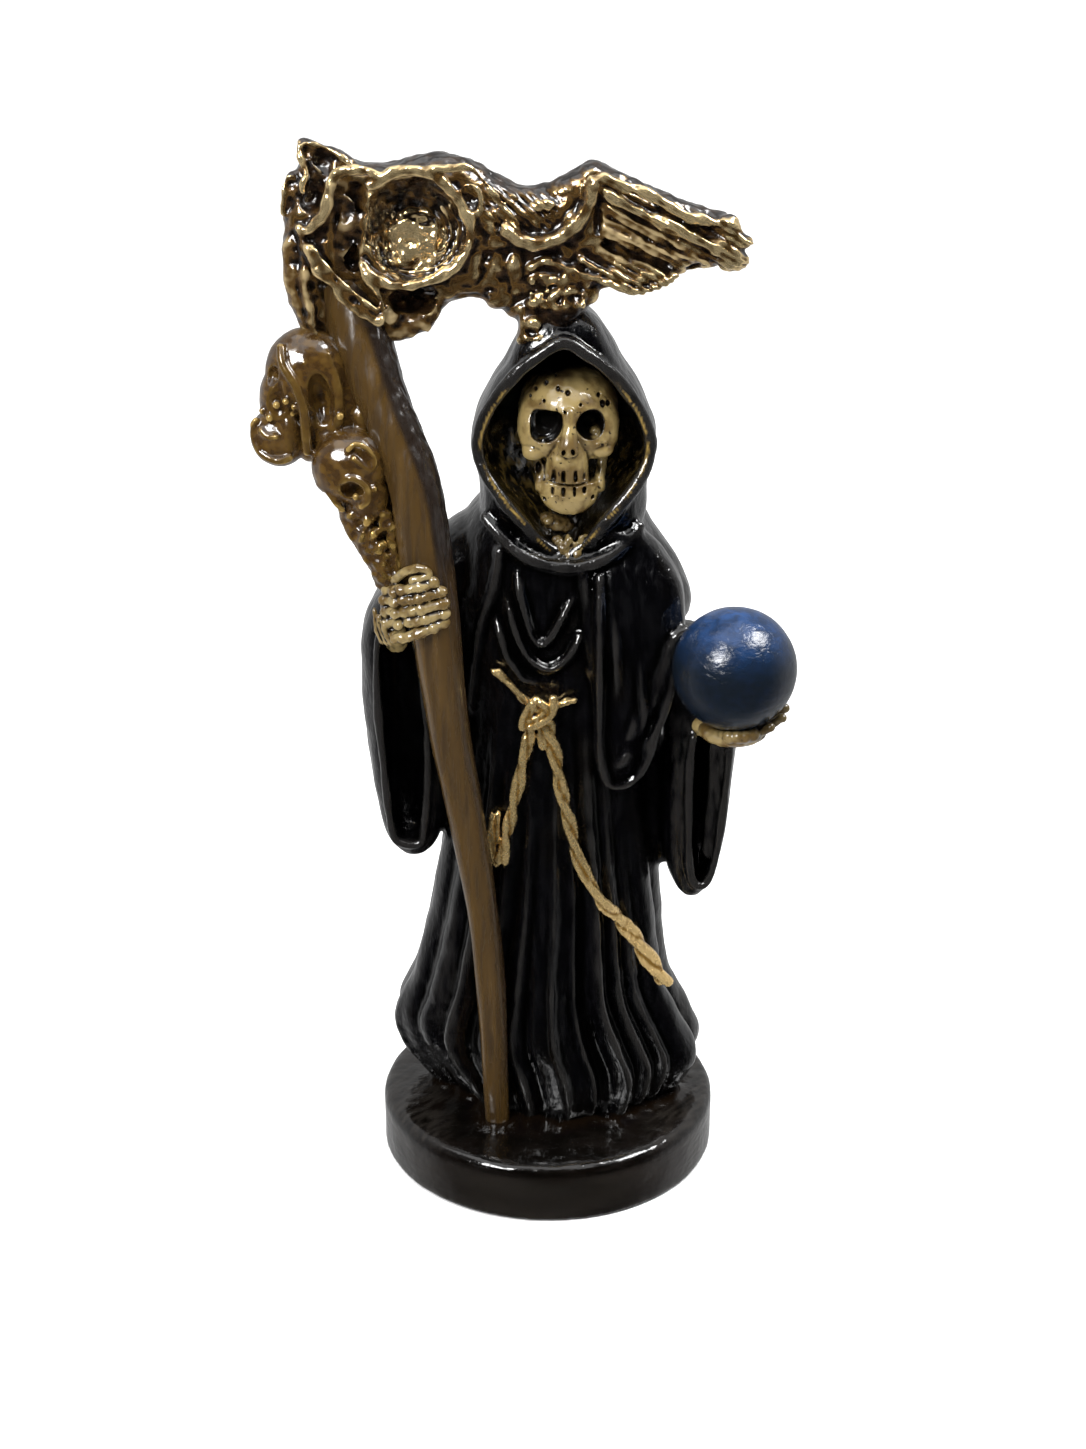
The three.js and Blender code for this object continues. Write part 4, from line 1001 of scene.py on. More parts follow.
# The other hand, cupped under the ball: a crescent of palm at the front, finger ends to the right
def makeLeftHand():
    bm = bmesh.new()
    gap, radius = leftHand["gap"], leftHand["radius"]

    # A bone round the ball's underside, between two heights given as degrees above straight down
    def cradle(azimuth, start, end, thick):
        carry = globeRadius + gap + radius * 0.75
        half = radius / share * thick
        line = []
        for part in (0, 0.33, 0.66, 1):
            rise = math.radians(mix(start, end, part) - 90)
            bend = math.radians(azimuth)
            flat = math.cos(rise)
            outward = Vector((flat * math.cos(bend), flat * math.sin(bend), math.sin(rise)))
            line.append((*toShares(globeCentre + carry * outward), half))
        addLimb(bm, line)
        return line, half

    for azimuth, reach in leftHand["palm"]:
        cradle(azimuth, 4, reach, 1.1)
    for azimuth, reach in leftHand["fingers"]:
        line, half = cradle(azimuth, 6, reach, 0.72)
        for joint in line[1:]:
            addEgg(bm, joint[:3], [half * 1.14] * 3, 14, 10)
    x, y, z = toShares(globeCentre - Vector((0, 0, globeRadius + gap)))
    addEgg(bm, (x, y, z - 0.3), leftHand["heel"])
    addLimb(bm, leftHand["wrist"])
    piece = melt(keep(bm, "left_hand"), leftHand["voxel"])
    hollow = bmesh.new()
    bmesh.ops.create_uvsphere(hollow, u_segments=48, v_segments=32, radius=globeRadius + gap / 2,
                              matrix=Matrix.Translation(globeCentre))
    cutAway(piece, hollow)
    melt(piece, leftHand["voxel"])
    carve(piece, 1, lambda x, y, z: 0.07 * ripple(x, y, z, 0.6))
    markRelief(piece, 18, 0.28 * mm)
    ballX = globeCentre.x / share

    # Painted shade right of the ball's middle and towards the sleeve
    def shaded(x, y, z, normal):
        return 0.6 * smoothStep(ballX + 1, ballX + 3, x) + 0.6 * smoothStep(-6, -4, y)

    markArea(piece, "dark", shaded)
    return piece


skull = {
    # centre and half sizes
    "vault": ((1.9, -0.9, 75), (4.8, 5.4, 4.3)),
    # height, left, right, front, back
    "cheeks": [(70.9, -1.4, 5.2, -4.8, -1), (71.4, -2.2, 6, -5.3, 0), (72.6, -2.85, 6.65, -5.8, 0.3),
               (74.6, -2.9, 6.7, -5.6, 0.6), (76.6, -2.4, 6.1, -4.5, 1), (77.6, -1.6, 5.3, -3.6, 1)],
    "maxilla": [(68.8, -0.3, 3.9, -6.8, -2), (70.3, -0.3, 3.8, -7, -2), (71.4, 0, 3.7, -6.9, -3),
                (73, 0.8, 3, -6.6, -3)],
    "mandible": [(65.8, 0.9, 3.1, -6, -3), (66.4, -0.2, 4.1, -6.5, -2.6), (67.6, -0.95, 4.8, -6.8, -2),
                 (69, -1, 5, -6.6, -2)],
    "leftSocket": [(72.8, -0.9, -0.1), (73, -1.3, 0.4), (73.3, -1.58, 0.8), (73.8, -1.7, 1.12),
                   (74.4, -1.74, 1.33), (75, -1.68, 1.37), (75.4, -1.5, 1.33), (75.75, -1, 1.15),
                   (75.95, -0.2, 0.75)],
    "rightSocket": ((3.95, -6.6, 74.55), (1.4, 3.3, 1.55)),
    "socketBack": -3.3,
    # what is painted black in and round the left socket: middle and half sizes, seen from the front
    "leftShade": ((-0.18, 74.4), (1.56, 1.62)),
    "bead": ((4.35, -4.2, 73.65), (0.45, 0.7, 0.38)),
    # lines of (x, y, height, half width)
    "nose": [(1.95, -5.8, 76.4, 0.7), (1.98, -6.4, 74.6, 0.62), (1.9, -6.8, 72.9, 0.95),
             (1.85, -6.7, 71.8, 1.1)],
    "mouth": [(-0.8, -6, 69.4, 0.15), (0.7, -6.8, 69.1, 0.16), (1.75, -6.9, 68.95, 0.16),
              (2.9, -6.8, 68.95, 0.16), (4.7, -6, 69.3, 0.15)],
    "crack": [(0.6, -4.2, 78.35, 0.1), (1.5, -4.1, 78.5, 0.18), (2.4, -4.1, 78.45, 0.17),
              (3.3, -4.2, 78.5, 0.1)],
    # the gaps between the teeth: x, and the height at which each ends
    "upperGaps": ((0.5, 70.6), (1.42, 70.5), (2.58, 70.5), (3.45, 70.3)),
    "lowerGaps": ((0.4, 67.9), (1.42, 67.7), (2.45, 67.8), (3.4, 68)),
    # roughness under each socket: two corners, count, sizes, seed
    "crumbs": [((-0.9, -5.3, 72.7), (0.6, -4.9, 73), 5, (0.18, 0.28), 3),
               ((3, -5.6, 72.6), (5.4, -5.3, 72.9), 9, (0.2, 0.3), 12)],
    # places of the small pits in the enamel: brow and temples, cheek, chin
    "pits": [(-1.7, 76.8), (-1.2, 77.5), (-0.2, 78.1), (0.7, 78.7), (0.9, 77.8), (1.8, 77.5), (3, 76.5),
             (4.7, 77.1), (5.1, 76.3), (5.6, 76.2), (5.6, 75.4), (6.1, 75.3), (6.1, 74.5), (6, 73.7),
             (5.9, 72.6), (-0.4, 76.7), (1.6, 75.9), (1.9, 75), (-2.6, 74.5), (-2.3, 73.6), (-2.5, 72.8),
             (1.7, 66.4), (3.3, 66.8), (-0.4, 67.3), (0.4, 66.9), (4.2, 67.6)],
    "voxel": 0.22 * mm, "fineVoxel": 0.2 * mm,
}


# Where the middle of a pit lies: just in the vault, or in the cheeks and the chin below it
def pitFront(x, z):
    if z <= 76:
        return -6.1 + 0.3 * abs(x - faceX) / 4
    centre, half = skull["vault"]
    reach = math.hypot((x - centre[0]) / half[0], (z - centre[2]) / half[2])
    return centre[1] - half[1] * math.sqrt(max(0, 1 - reach * reach)) + 0.15


# The skull in the hood, with black sockets, a row of teeth and a cracked, pitted enamel
def makeSkull():
    bm = bmesh.new()
    addEgg(bm, *skull["vault"], 48, 32)
    addUpright(bm, skull["cheeks"], 3)
    addUpright(bm, skull["maxilla"], 2.6)
    addUpright(bm, skull["mandible"], 2.5)
    addLimb(bm, skull["nose"])
    for x in (-1.1, 5.3):
        addLimb(bm, [(x - (x - faceX) * 0.18, -4.8, 67.6, 0.8), (x - (x - faceX) * 0.1, -4.2, 69.4, 0.5),
                     (x, -3.2, 71.4, 0.5)], 1.5)
    for x, z, half in ((-1.4, 71.7, 1.15), (5, 71.9, 1.2)):
        addEgg(bm, (x, -4.5, z), (half, 1.15, 0.85))
    piece = melt(keep(bm, "skull"), skull["voxel"])
    cutters = bmesh.new()
    socket = [(z, left, right, -10, skull["socketBack"]) for z, left, right in skull["leftSocket"]]
    addUpright(cutters, socket, 6)
    addEgg(cutters, *skull["rightSocket"])
    for x, z, tilt in ((1.42, 72.35, 14), (2.3, 72.4, -14)):
        addEgg(cutters, (x, -7.6, z), (0.2, 0.9, 0.36), 16, 12, tilt=tilt)
    addEgg(cutters, (1.85, -7.8, 71.1), (0.2, 0.6, 0.26), 16, 12)
    addLimb(cutters, skull["mouth"], 4.5)
    for x, top in skull["upperGaps"]:
        y = -6.9 + 0.08 * (x - faceX) ** 2
        addLimb(cutters, [(x, y, z, half) for z, half in ((top, 0.15), (69.8, 0.25), (69.2, 0.24))], 3.4)
    for x, low in skull["lowerGaps"]:
        y = -6.75 + 0.08 * (x - faceX) ** 2
        addLimb(cutters, [(x, y, z, half) for z, half in ((68.8, 0.25), (low, 0.15))], 3.4)
    for x in (4.55, -0.95):
        addEgg(cutters, (x, -5.6, 70.1), (0.42, 1.9, 0.75))
    for k, (x, z) in enumerate(skull["pits"]):
        size = 0.17 + 0.05 * (k % 3) + 0.09 * smoothStep(4.4, 5, x) * smoothStep(72, 73, z)
        addEgg(cutters, (x, pitFront(x, z), z), (size, 0.5, size * 1.1), 12, 8)
    addLimb(cutters, skull["crack"], 3.5)
    cutAway(piece, cutters)
    bm = bmesh.new()
    addEgg(bm, *skull["bead"], 16, 12)
    for heap in skull["crumbs"]:
        addCrumbs(bm, *heap)
    addOnto(piece, bm, skull["fineVoxel"])

    # The jaws are rougher than the brow
    def pocked(x, y, z):
        return 0.07 * ripple(x, y, z, 0.9) + 0.05 * ripple(x, y, z, 0.45) * smoothStep(72.6, 71.8, z)

    carve(piece, 1, pocked)
    markRelief(piece, 22, 0.3 * mm)
    markArea(piece, "dark", socketShade)
    return piece


# The sockets are painted black, apart from the bead in the right one; the crown gets painted shadow
# from the hood, and the jaw sides and what lies far back in the hood get painted shade
def socketShade(x, y, z, normal):
    centre, half = skull["rightSocket"]
    right = math.hypot((x - centre[0]) / half[0], (z - centre[2]) / half[2])
    (leftX, leftZ), (halfX, halfZ) = skull["leftShade"]
    left = (abs((x - leftX) / halfX) ** 3.4 + abs((z - leftZ) / halfZ) ** 3.4) ** (1 / 3.4)
    inside = smoothStep(1.03, 0.96, min(left, right)) * smoothStep(-5.8, -5.5, y)
    beadX, _, beadZ = skull["bead"][0]
    bead = 0.5 * smoothStep(0.6, 0.45, math.hypot(x - beadX, z - beadZ))
    jawShade = 0.7 * smoothStep(2.5, 2.9, abs(x - 2)) * smoothStep(71.2, 70.4, z) * smoothStep(-5.2, -4.6, y)
    hoodShadow = 0.85 * smoothStep(77.2, 79, z - 0.1 * abs(x - faceX) + 0.5 * ripple(x, y, z, 1.2))
    return clamp(inside * (1 - bead) + smoothStep(-3, -1.6, y) * smoothStep(75, 72, z) + jawShade + hoodShadow)


neck = {
    "spine": [(faceX, -1.6, 67, 1.6), (faceX, -2.4, 61.5, 1.6)],
    # centre, half sizes, tilt
    "bones": [((0.9, -3.9, 64.4), (1.65, 1.5, 0.8), 14), ((0, -4.2, 64.9), (0.8, 1.2, 0.55), 20)],
    # two cords from the sides meet at this x: how far aside each starts
    "middle": 2.2, "sides": (-1.6, 1.7),
    # two corners, count, sizes, seed
    "crumbs": ((0.9, -6.4, 61.9), (3.4, -5.9, 63.6), 16, (0.22, 0.4), 2),
    "voxel": 0.24 * mm,
}


# The bony neck between the skull and the collar
def makeNeck():
    bm = bmesh.new()
    addLimb(bm, neck["spine"])
    for centre, half, tilt in neck["bones"]:
        addEgg(bm, centre, half, tilt=tilt)
    x = neck["middle"]
    for side in neck["sides"]:
        addLimb(bm, [(x + side, -5.2, 63.4, 0.5), (x + side * 0.6, -6, 62.6, 0.52), (x, -6.8, 61.2, 0.42)])
    addCrumbs(bm, *neck["crumbs"])
    piece = melt(keep(bm, "neck"), neck["voxel"])
    carve(piece, 1, lambda x, y, z: 0.2 * ripple(x - z / 2, y, z, 0.5))
    markRelief(piece, 18, 0.3 * mm)
    # Painted shade: the neck is darkened all over where it lies in the hood, and most towards the back
    markArea(piece, "dark", lambda x, y, z, normal: mix(0.35, 0.92, smoothStep(-4.6, -3.2, y)))
    return piece


blade = {
    # x, low, high, front, back
    "levels": [(-24, 90, 95, -3, 0.6), (-23.2, 87, 97, -3.6, 1.4), (-21, 86.6, 97.6, -4, 1.9),
               (-18.6, 86.2, 98.2, -4.2, 2.1), (-16, 84.2, 98.1, -4.5, 2.2), (-13.6, 83.4, 98.4, -4.6, 2.2),
               (-11, 84.4, 99, -4.6, 2.2), (-8, 85.8, 98.8, -4.5, 2), (-5, 85.4, 97.1, -4.2, 1.8),
               (-2.4, 84.8, 96, -3.9, 1.6), (0, 84.2, 96.3, -3.8, 1.5), (2, 84.9, 97.4, -3.9, 1.5),
               (3.9, 86.2, 98.3, -4, 1.5), (6.2, 86.8, 97.6, -3.9, 1.3), (9.6, 87, 96, -3.6, 1),
               (13.2, 88.3, 94.6, -3.3, 0.6), (16.6, 88.9, 93.6, -3, 0.2)],
    # height, left, right, front, back
    "ear": [(92, -24.4, -20.4, -3, 1.2), (95, -24.4, -19.6, -3, 1.2), (97, -23.3, -18, -2.9, 1.2),
            (98.2, -22.9, -17.4, -2.6, 1), (99.2, -22.9, -19.2, -2.2, 0.6), (99.9, -23.2, -21.2, -1.9, 0),
            (100.4, -23, -22.3, -1.6, -0.7)],
    "bowl": {"x": -12.2, "z": 92.8, "half": (4.7, 4.8), "front": -4.6},
    "boss": (-12.2, -1.6, 91.2),
    # lines of (x, y, height, half width): the stem from the ear down to the staff, the bridge to the hood
    "stem": [[(-22.9, -1.6, 95, 1.3), (-23, -1.7, 91.5, 1.7), (-22.3, -1.6, 86.4, 1.9),
              (-20.7, -2.2, 81, 1)],
             [(-23.6, -2.6, 92.6, 1), (-23.6, -2.7, 89, 1.05), (-23.4, -2.9, 86.2, 1),
              (-22.6, -3.2, 84, 0.9), (-21.2, -3.6, 80.6, 0.5)]],
    "bridge": [[(1.5, -1, 83.4, 1.8), (1.2, -1.8, 84.6, 2.7), (0.8, -1.6, 86.8, 3.4)],
               [(-1.6, -2.4, 85.5, 1.6), (-1.6, -2.6, 83.4, 1.3), (-2.4, -2.6, 81.2, 1)]],
    # centre and half sizes: what stands, then what is sunk and its tilt
    "lumps": [((-11, -2.6, 84.8), (1, 1.6, 1)), ((-12.2, -2.6, 83.8), (1.6, 1.6, 1)),
              ((-13.5, -2.6, 83.4), (1.4, 1.6, 1.3)), ((-14.6, -2.8, 82.9), (1.5, 1.6, 1.2)),
              ((-23.3, -1.8, 95.8), (1, 1.3, 1.9)), ((-14.6, -2.8, 84.6), (1.2, 1.8, 1.4)),
              ((-1.4, -1.8, 85), (3, 2.1, 1.5)), ((-4.6, -2.2, 86), (1.6, 1.8, 1.2)),
              ((3.2, -2.2, 86.4), (1.6, 1.7, 1.2)), ((16.4, -2.8, 92.8), (1.2, 1, 1)),
              ((17.9, -2.7, 91.2), (1.3, 0.9, 0.75)), ((17.1, -2.8, 89.5), (1.7, 1.1, 1.1)),
              ((16.6, -2.4, 91), (1.6, 1.2, 1.9)), ((9, -2.6, 88.2), (3, 1.4, 1.3)),
              ((6, -2.6, 88.4), (2.4, 1.6, 1.2))],
    "hollows": [((-21.6, -5.2, 95.7), (1.5, 2.8, 2.2), 20), ((-20.7, -3.8, 98.4), (1.4, 1.9, 1.2), 30),
                ((-12.4, -5.2, 86.1), (2.6, 3.5, 1.6), -6), ((-7.2, -5.6, 95.5), (0.8, 1.7, 1.1), 8),
                ((-0.9, -6, 94.3), (2.8, 2.7, 2), -8), ((-4.5, -5.6, 88.4), (1.4, 1.9, 2.1), 0),
                ((4.5, -5.2, 93.4), (0.6, 2, 2), 0), ((13.5, -4.4, 88.7), (1.3, 3, 0.7), -8),
                ((-18.7, -5.9, 93.2), (1.8, 2.5, 4.4), 6)],
    # channels: line, half width, depth of the middle
    "channels": [([(-17.3, 97.2), (-17.7, 95.6), (-18.2, 93.6), (-18.5, 91.4), (-18.4, 89.8),
                   (-17.8, 88.6)], 1.05, -4.9),
                 ([(-19.6, 91.2), (-18.9, 89.5), (-18, 88.2), (-17.1, 87.3), (-16.3, 86.5)], 0.5, -4.9),
                 ([(-11.3, 85.9), (-8.3, 86.4), (-6.5, 87.6), (-5.7, 89.4), (-5.6, 91)], 0.75, -5.1),
                 ([(6, 96.3), (7.9, 95.3), (9.9, 94.2), (12.4, 92.9), (15.2, 92)], 0.24, -4.5),
                 ([(5.2, 93.9), (7.6, 92.5), (10.2, 91), (12.6, 89.9)], 0.34, -4.2),
                 ([(4.6, 91.4), (7.5, 90.3), (10.2, 89.3), (11.6, 88.9)], 0.62, -4.1),
                 ([(13.2, 91.5), (14.8, 90.7), (16.6, 89.6)], 0.2, -4.1),
                 ([(15.8, 92.3), (17.2, 91.9), (18.6, 91.4)], 0.2, -3.7)],
    # ridges: line, half width, how far the middle stands before the blade's face
    "ridges": [([(-16.5, 98), (-17.7, 98.1), (-18.9, 97.9), (-19.5, 97.2), (-20, 95.9), (-20.4, 94.5),
                 (-21.3, 93.2), (-22.2, 92.4), (-23.2, 92.9)], 0.56, 0.45),
               ([(-18.9, 97.9), (-17.7, 98.1), (-16.5, 98.1), (-15.6, 97.7), (-15.4, 97.2), (-15.8, 96.6),
                 (-16.3, 96.7), (-16.2, 97.2)], 0.34, 0.35),
               ([(-16.2, 96.4), (-14.3, 97.8), (-11.9, 98.1), (-9.8, 97.2), (-8.2, 95.4), (-7.2, 93.2),
                 (-7.5, 90.9), (-9.1, 89), (-11.6, 87.8), (-14.2, 87.6), (-16.3, 88.4), (-17.4, 89.9)],
                0.48, 0.3),
               ([(-16.3, 96), (-16.5, 94.4), (-16.8, 92.8), (-17, 91.2), (-17.4, 90)], 0.26, -0.1),
               ([(-9.3, 95), (-8.3, 92.8), (-8.6, 90.8), (-10, 89.2), (-12.2, 88.5), (-14, 88.8)],
                0.26, -1.2),
               ([(-10, 94.6), (-9.1, 92.6), (-9.4, 90.8), (-10.6, 89.5), (-12.4, 89)], 0.22, -2),
               ([(-14.9, 91.4), (-15, 90.1), (-14.2, 89.2)], 0.2, -1.1),
               ([(-15.8, 91.2), (-15.7, 89.9), (-14.8, 88.7)], 0.2, -0.6),
               ([(-22.3, 91.5), (-21.8, 90.4), (-20.9, 89.1), (-19.7, 87.7), (-18.7, 86.5), (-17.5, 85.4),
                 (-16.1, 84.7), (-15.2, 84.4)], 0.66, 0.75),
               ([(-21.6, 91.2), (-20.7, 89.8), (-19.4, 88.5), (-18.1, 87.2), (-16.7, 86.1), (-15.6, 85.4)],
                0.24, 1.15),
               ([(-17.4, 89.8), (-16.6, 88.3), (-15.9, 87.2), (-15.5, 86.2), (-15.3, 85)], 0.34, 0.5),
               ([(-11.4, 98.1), (-10.2, 98.2), (-8.7, 98.3), (-7.2, 98.3), (-6.2, 97.4), (-5.3, 96.3),
                 (-4.4, 95), (-3.4, 93.6), (-2.5, 92.7)], 0.36, 0.25),
               ([(-7.4, 96.9), (-6.4, 96.4), (-6.2, 95), (-6.6, 94.2), (-7.6, 94.2), (-8.1, 95.2),
                 (-7.9, 96.4), (-7.3, 96.9)], 0.26, 0.3),
               ([(4.4, 97.6), (4, 96.6), (3.8, 95.4), (3.1, 94), (1.9, 92.6), (0.3, 91.6), (-1.3, 91.4),
                 (-2.8, 91.9), (-4.2, 93)], 0.66, 0.45),
               ([(3, 97), (2.9, 95.6), (2.2, 94.4), (1.2, 93.3)], 0.2, 0.35),
               ([(4.4, 97.6), (6.9, 96.6), (9.4, 95.5), (11.2, 94.5), (13.2, 93.6), (15.1, 93.2),
                 (16.8, 92.8)], 0.52, 0.35),
               ([(4.8, 96.4), (7.9, 94.5), (10.2, 93.4), (12.2, 92.4), (13.9, 91.6), (15.7, 90.8),
                 (17.9, 89.6)], 0.56, 0.35),
               ([(5.3, 94.8), (7.8, 93.2), (10.3, 91.8), (12.6, 90.9), (14.2, 90.2)], 0.3, 0.1),
               ([(5.3, 92.4), (6.5, 91.8), (8.7, 91.2), (11.3, 90.2), (13.3, 89.9), (15, 89.1)], 0.3, 0.15),
               ([(-2, 89), (-0.5, 89.6), (1, 89.4), (2.6, 88.7), (4.7, 88), (7.1, 87.1), (8.7, 86.8),
                 (10.4, 87.4), (12, 88.4)], 0.36, 0.3),
               ([(2.6, 90), (4.7, 88.9), (7.1, 88), (8.8, 87.6)], 0.3, 0.2)],
    # ridges away from the flat face: line of (x, y, height), half width
    "edges": [([(-22.7, -2.2, 100.2), (-22.7, -2.7, 99.2), (-22.4, -3, 98.4), (-22.2, -3.3, 97.4),
                (-22.5, -3.5, 96.6), (-22.4, -3.6, 95.6)], 0.36),
              ([(-22.7, -2.1, 100.2), (-20.6, -2.2, 99.8), (-19, -2.6, 99), (-17.8, -3.2, 98.3)], 0.3),
              ([(-22, -2.6, 99), (-21.3, -2.9, 98.1), (-20.7, -3, 97.6)], 0.2),
              ([(-23.1, -2.8, 97.3), (-24, -2.6, 96.9), (-24.3, -2.7, 95), (-24.4, -2.8, 93.5)], 0.36),
              ([(-22.8, -4.1, 92.8), (-22.6, -4.1, 91), (-22.5, -4.2, 89.2), (-22.6, -4.3, 87.2),
                (-22.2, -4.4, 85.4), (-21.9, -4.5, 83.3), (-20.9, -4.8, 81)], 0.4)],
    # two corners, count, sizes, seed: on the boss, in the channel right of the bowl, on the brow over the
    # bridge, under the bowl, down the bowl's right foot
    "crumbs": [((-13.9, -2.7, 89.7), (-10.5, -2.4, 92.9), 30, (0.35, 0.75), 11),
               ((-6.4, -4.5, 91.2), (-3.8, -4.2, 95), 34, (0.2, 0.42), 5),
               ((-1.8, -4.3, 85.4), (3.6, -3.8, 88.6), 44, (0.24, 0.5), 6),
               ((-13.8, -3.8, 82.9), (-10.6, -3.4, 84.6), 16, (0.25, 0.45), 7),
               ((-5.9, -3.9, 86), (-2.9, -3.6, 90.5), 16, (0.2, 0.34), 8)],
    "knobs": [((-0.6, -4.1, 94.9), (1.15, 0.6, 0.6)), ((-3.2, -4, 89.1), (0.65, 0.5, 1.3)),
              ((-1.4, -3.9, 83.8), (0.75, 0.7, 0.75))],
    # lines of (x, y, height, half width) on the bridge
    "ties": [[(-2.4, -3.6, 84.6, 0.5), (-2.3, -3.7, 83, 0.42), (-2.9, -3.8, 81.8, 0.4)],
             [(-2.6, -4, 82.5, 0.36), (-1.4, -4.2, 82.4, 0.4), (-0.3, -4, 82.8, 0.3)]],
    "voxel": 0.36 * mm,
}


# The blade, cast like weathered bone: an ear, a bowl with a bright boss, a saddle and a wing of fingers
def makeBlade():
    bm = bmesh.new()
    levels, bowl = blade["levels"], blade["bowl"]

    def beam(angle, t):
        x, low, high, front, back = levelAt(levels, mix(levels[0][0], levels[-1][0], t))
        c, s = superDirection(angle, 2.7)
        return place(x, (front + back) / 2 + c * (back - front) / 2,
                     (low + high) / 2 + s * (high - low) / 2)

    addSkin(bm, 64, 120, beam)
    addUpright(bm, blade["ear"], 2.6)
    for line in blade["stem"]:
        addLimb(bm, line, 1.3)
    for centre, half in blade["lumps"]:
        addEgg(bm, centre, half)
    for line in blade["bridge"]:
        addLimb(bm, line, 1, 24)
    piece = melt(keep(bm, "blade"), blade["voxel"])

    # A line laid before the blade's face, with a half width that wanders
    def before(line, radius, lift):
        rows = []
        for x, z in line:
            front = levelAt(levels, x)[3]
            rows.append((x, front - lift, z, radius * (1 + 0.4 * ripple(x, 0, z, 1.7, 4))))
        return rows

    cutters = bmesh.new()
    addEgg(cutters, (bowl["x"], bowl["front"], bowl["z"]), (bowl["half"][0], 3.7, bowl["half"][1]), 48, 32)
    for centre, half, tilt in blade["hollows"]:
        addEgg(cutters, centre, half, 32, 24, tilt=tilt)
    for line, radius, depth in blade["channels"]:
        addLimb(cutters, [(x, depth, z, radius) for x, z in line], 2.2)
    cutAway(piece, cutters)

    crust = bmesh.new()
    for line, radius, lift in blade["ridges"]:
        addLimb(crust, before(line, radius, lift))
    for line, radius in blade["edges"]:
        addRod(crust, line, radius)
    addEgg(crust, blade["boss"], (2.5, 1.1, 2.5), 32, 24)
    for heap in blade["crumbs"]:
        addCrumbs(crust, *heap)
    for centre, half in blade["knobs"]:
        addEgg(crust, centre, half)
    for line in blade["ties"]:
        addLimb(crust, line)
    addOnto(piece, crust, blade["voxel"])
    carve(piece, 5, bladeRelief)
    # The boss's relief is lifted so it takes the bright gold, a heavier rub and partly a painted highlight;
    # the wing's a little
    markRelief(piece, 34, 0.8 * mm, lambda x, y, z: 0.34 * bossArea(x, y, z) + 0.06 * smoothStep(4, 6, x))
    markArea(piece, "gilt", bladeGilt)
    return piece


# Swirls low right in the bowl, fine lumps on its floor, pleats on the wing, streaks on the saddle, and
# wear all over
def bladeRelief(x, y, z):
    bowl = blade["bowl"]
    front = smoothStep(0.5, -1.5, y)
    radius = math.hypot(x - bowl["x"] + 0.3, z - bowl["z"] + 0.8)
    turn = math.atan2(z - bowl["z"], x - bowl["x"])
    lowRight = smoothStep(-0.4, 0.6, math.cos(turn + 0.6))
    ring = smoothStep(4.9, 4.2, radius) * smoothStep(2, 2.6, radius)
    grooves = 0.07 * math.sin(radius * 7 + turn) * ring * lowRight
    mottle = 0.14 * ripple(x, y, z, 0.6) * smoothStep(4.9, 4, radius)
    pleatArea = smoothStep(4.2, 5.6, x) * smoothStep(-2.4, -3.2, y)
    pleats = 0.08 * math.sin((z + x * 0.58) * 9 + 2 * ripple(x, y, z, 2.5)) * pleatArea
    saddle = smoothStep(3, 2, math.hypot((x + 2.6) / 1.4, z - 94.4)) * smoothStep(-1.8, -2.8, y)
    streaks = 0.08 * math.sin((x * 0.8 + z) * 8) * saddle
    rough = 0.26 * ripple(x, y, z, 1.9, 5) + 0.14 * ripple(x, y, z, 0.9)
    return (grooves + mottle + pleats + streaks) * front + rough


def bossArea(x, y, z):
    front = smoothStep(-4.6, -3.6, y) * smoothStep(0.4, -0.4, y)
    return smoothStep(3.1, 2.5, math.hypot(x - blade["boss"][0], z - blade["boss"][2])) * front


# Bare lacquer on the top face, the bridge, in the ear and in the valley left of the bowl, and painted shade
# on the downward faces at the left, left without gold; the back and the bowl's upper part are rubbed
# lightly, the wing and the boss most, the boss partly as a painted highlight
def bladeGilt(x, y, z, normal):
    top = smoothStep(0.45, 0.75, normal.z) * smoothStep(-3.9, -3.3, y)
    back = 0.75 * smoothStep(0.2, 0.7, normal.y)
    # Painted shade: downward faces at the left are left dark, without gold
    under = 0.85 * smoothStep(0.35, 0.8, -normal.z) * smoothStep(-7.5, -8.5, x)
    bridge = smoothStep(85.6, 84.9, z) * smoothStep(-0.9, -0.3, x) * smoothStep(-9, -8, x)
    ear = smoothStep(1.9, 1.4, math.hypot(x + 21.3, (z - 96.5) / 1.6)) * smoothStep(-3.6, -2.9, y)
    bowl = blade["bowl"]
    boss = bossArea(x, y, z)
    inBowl = smoothStep(4.6, 3.8, math.hypot(x - bowl["x"], z - bowl["z"]))
    upper = 0.45 * inBowl * smoothStep(90.5, 93, z) * (1 - boss)
    wing = 0.35 * smoothStep(4, 6, x)
    belowEdge = smoothStep(0, 0.6, 95.4 - 0.52 * (x - 4.8) - z)
    pleated = belowEdge * smoothStep(4, 5.5, x) * smoothStep(88.7, 89.6, z)
    lump = 0.5 * smoothStep(85.6, 84.8, z) * smoothStep(-15.8, -14.8, x) * smoothStep(-8, -9, x)
    valley = 0.8 * smoothStep(1.5, 1.1, abs(x + 18.5)) * smoothStep(87.5, 89, z) * smoothStep(97.2, 96.6, z)
    strap = 0.4 * smoothStep(-21.6, -22.4, x) * smoothStep(93, 91.5, z)
    bare = max(top, back, under, bridge, upper, lump, valley, strap, 0.9 * ear)
    return max(0, 1 - bare) * (1 + boss + wing - 0.7 * pleated)


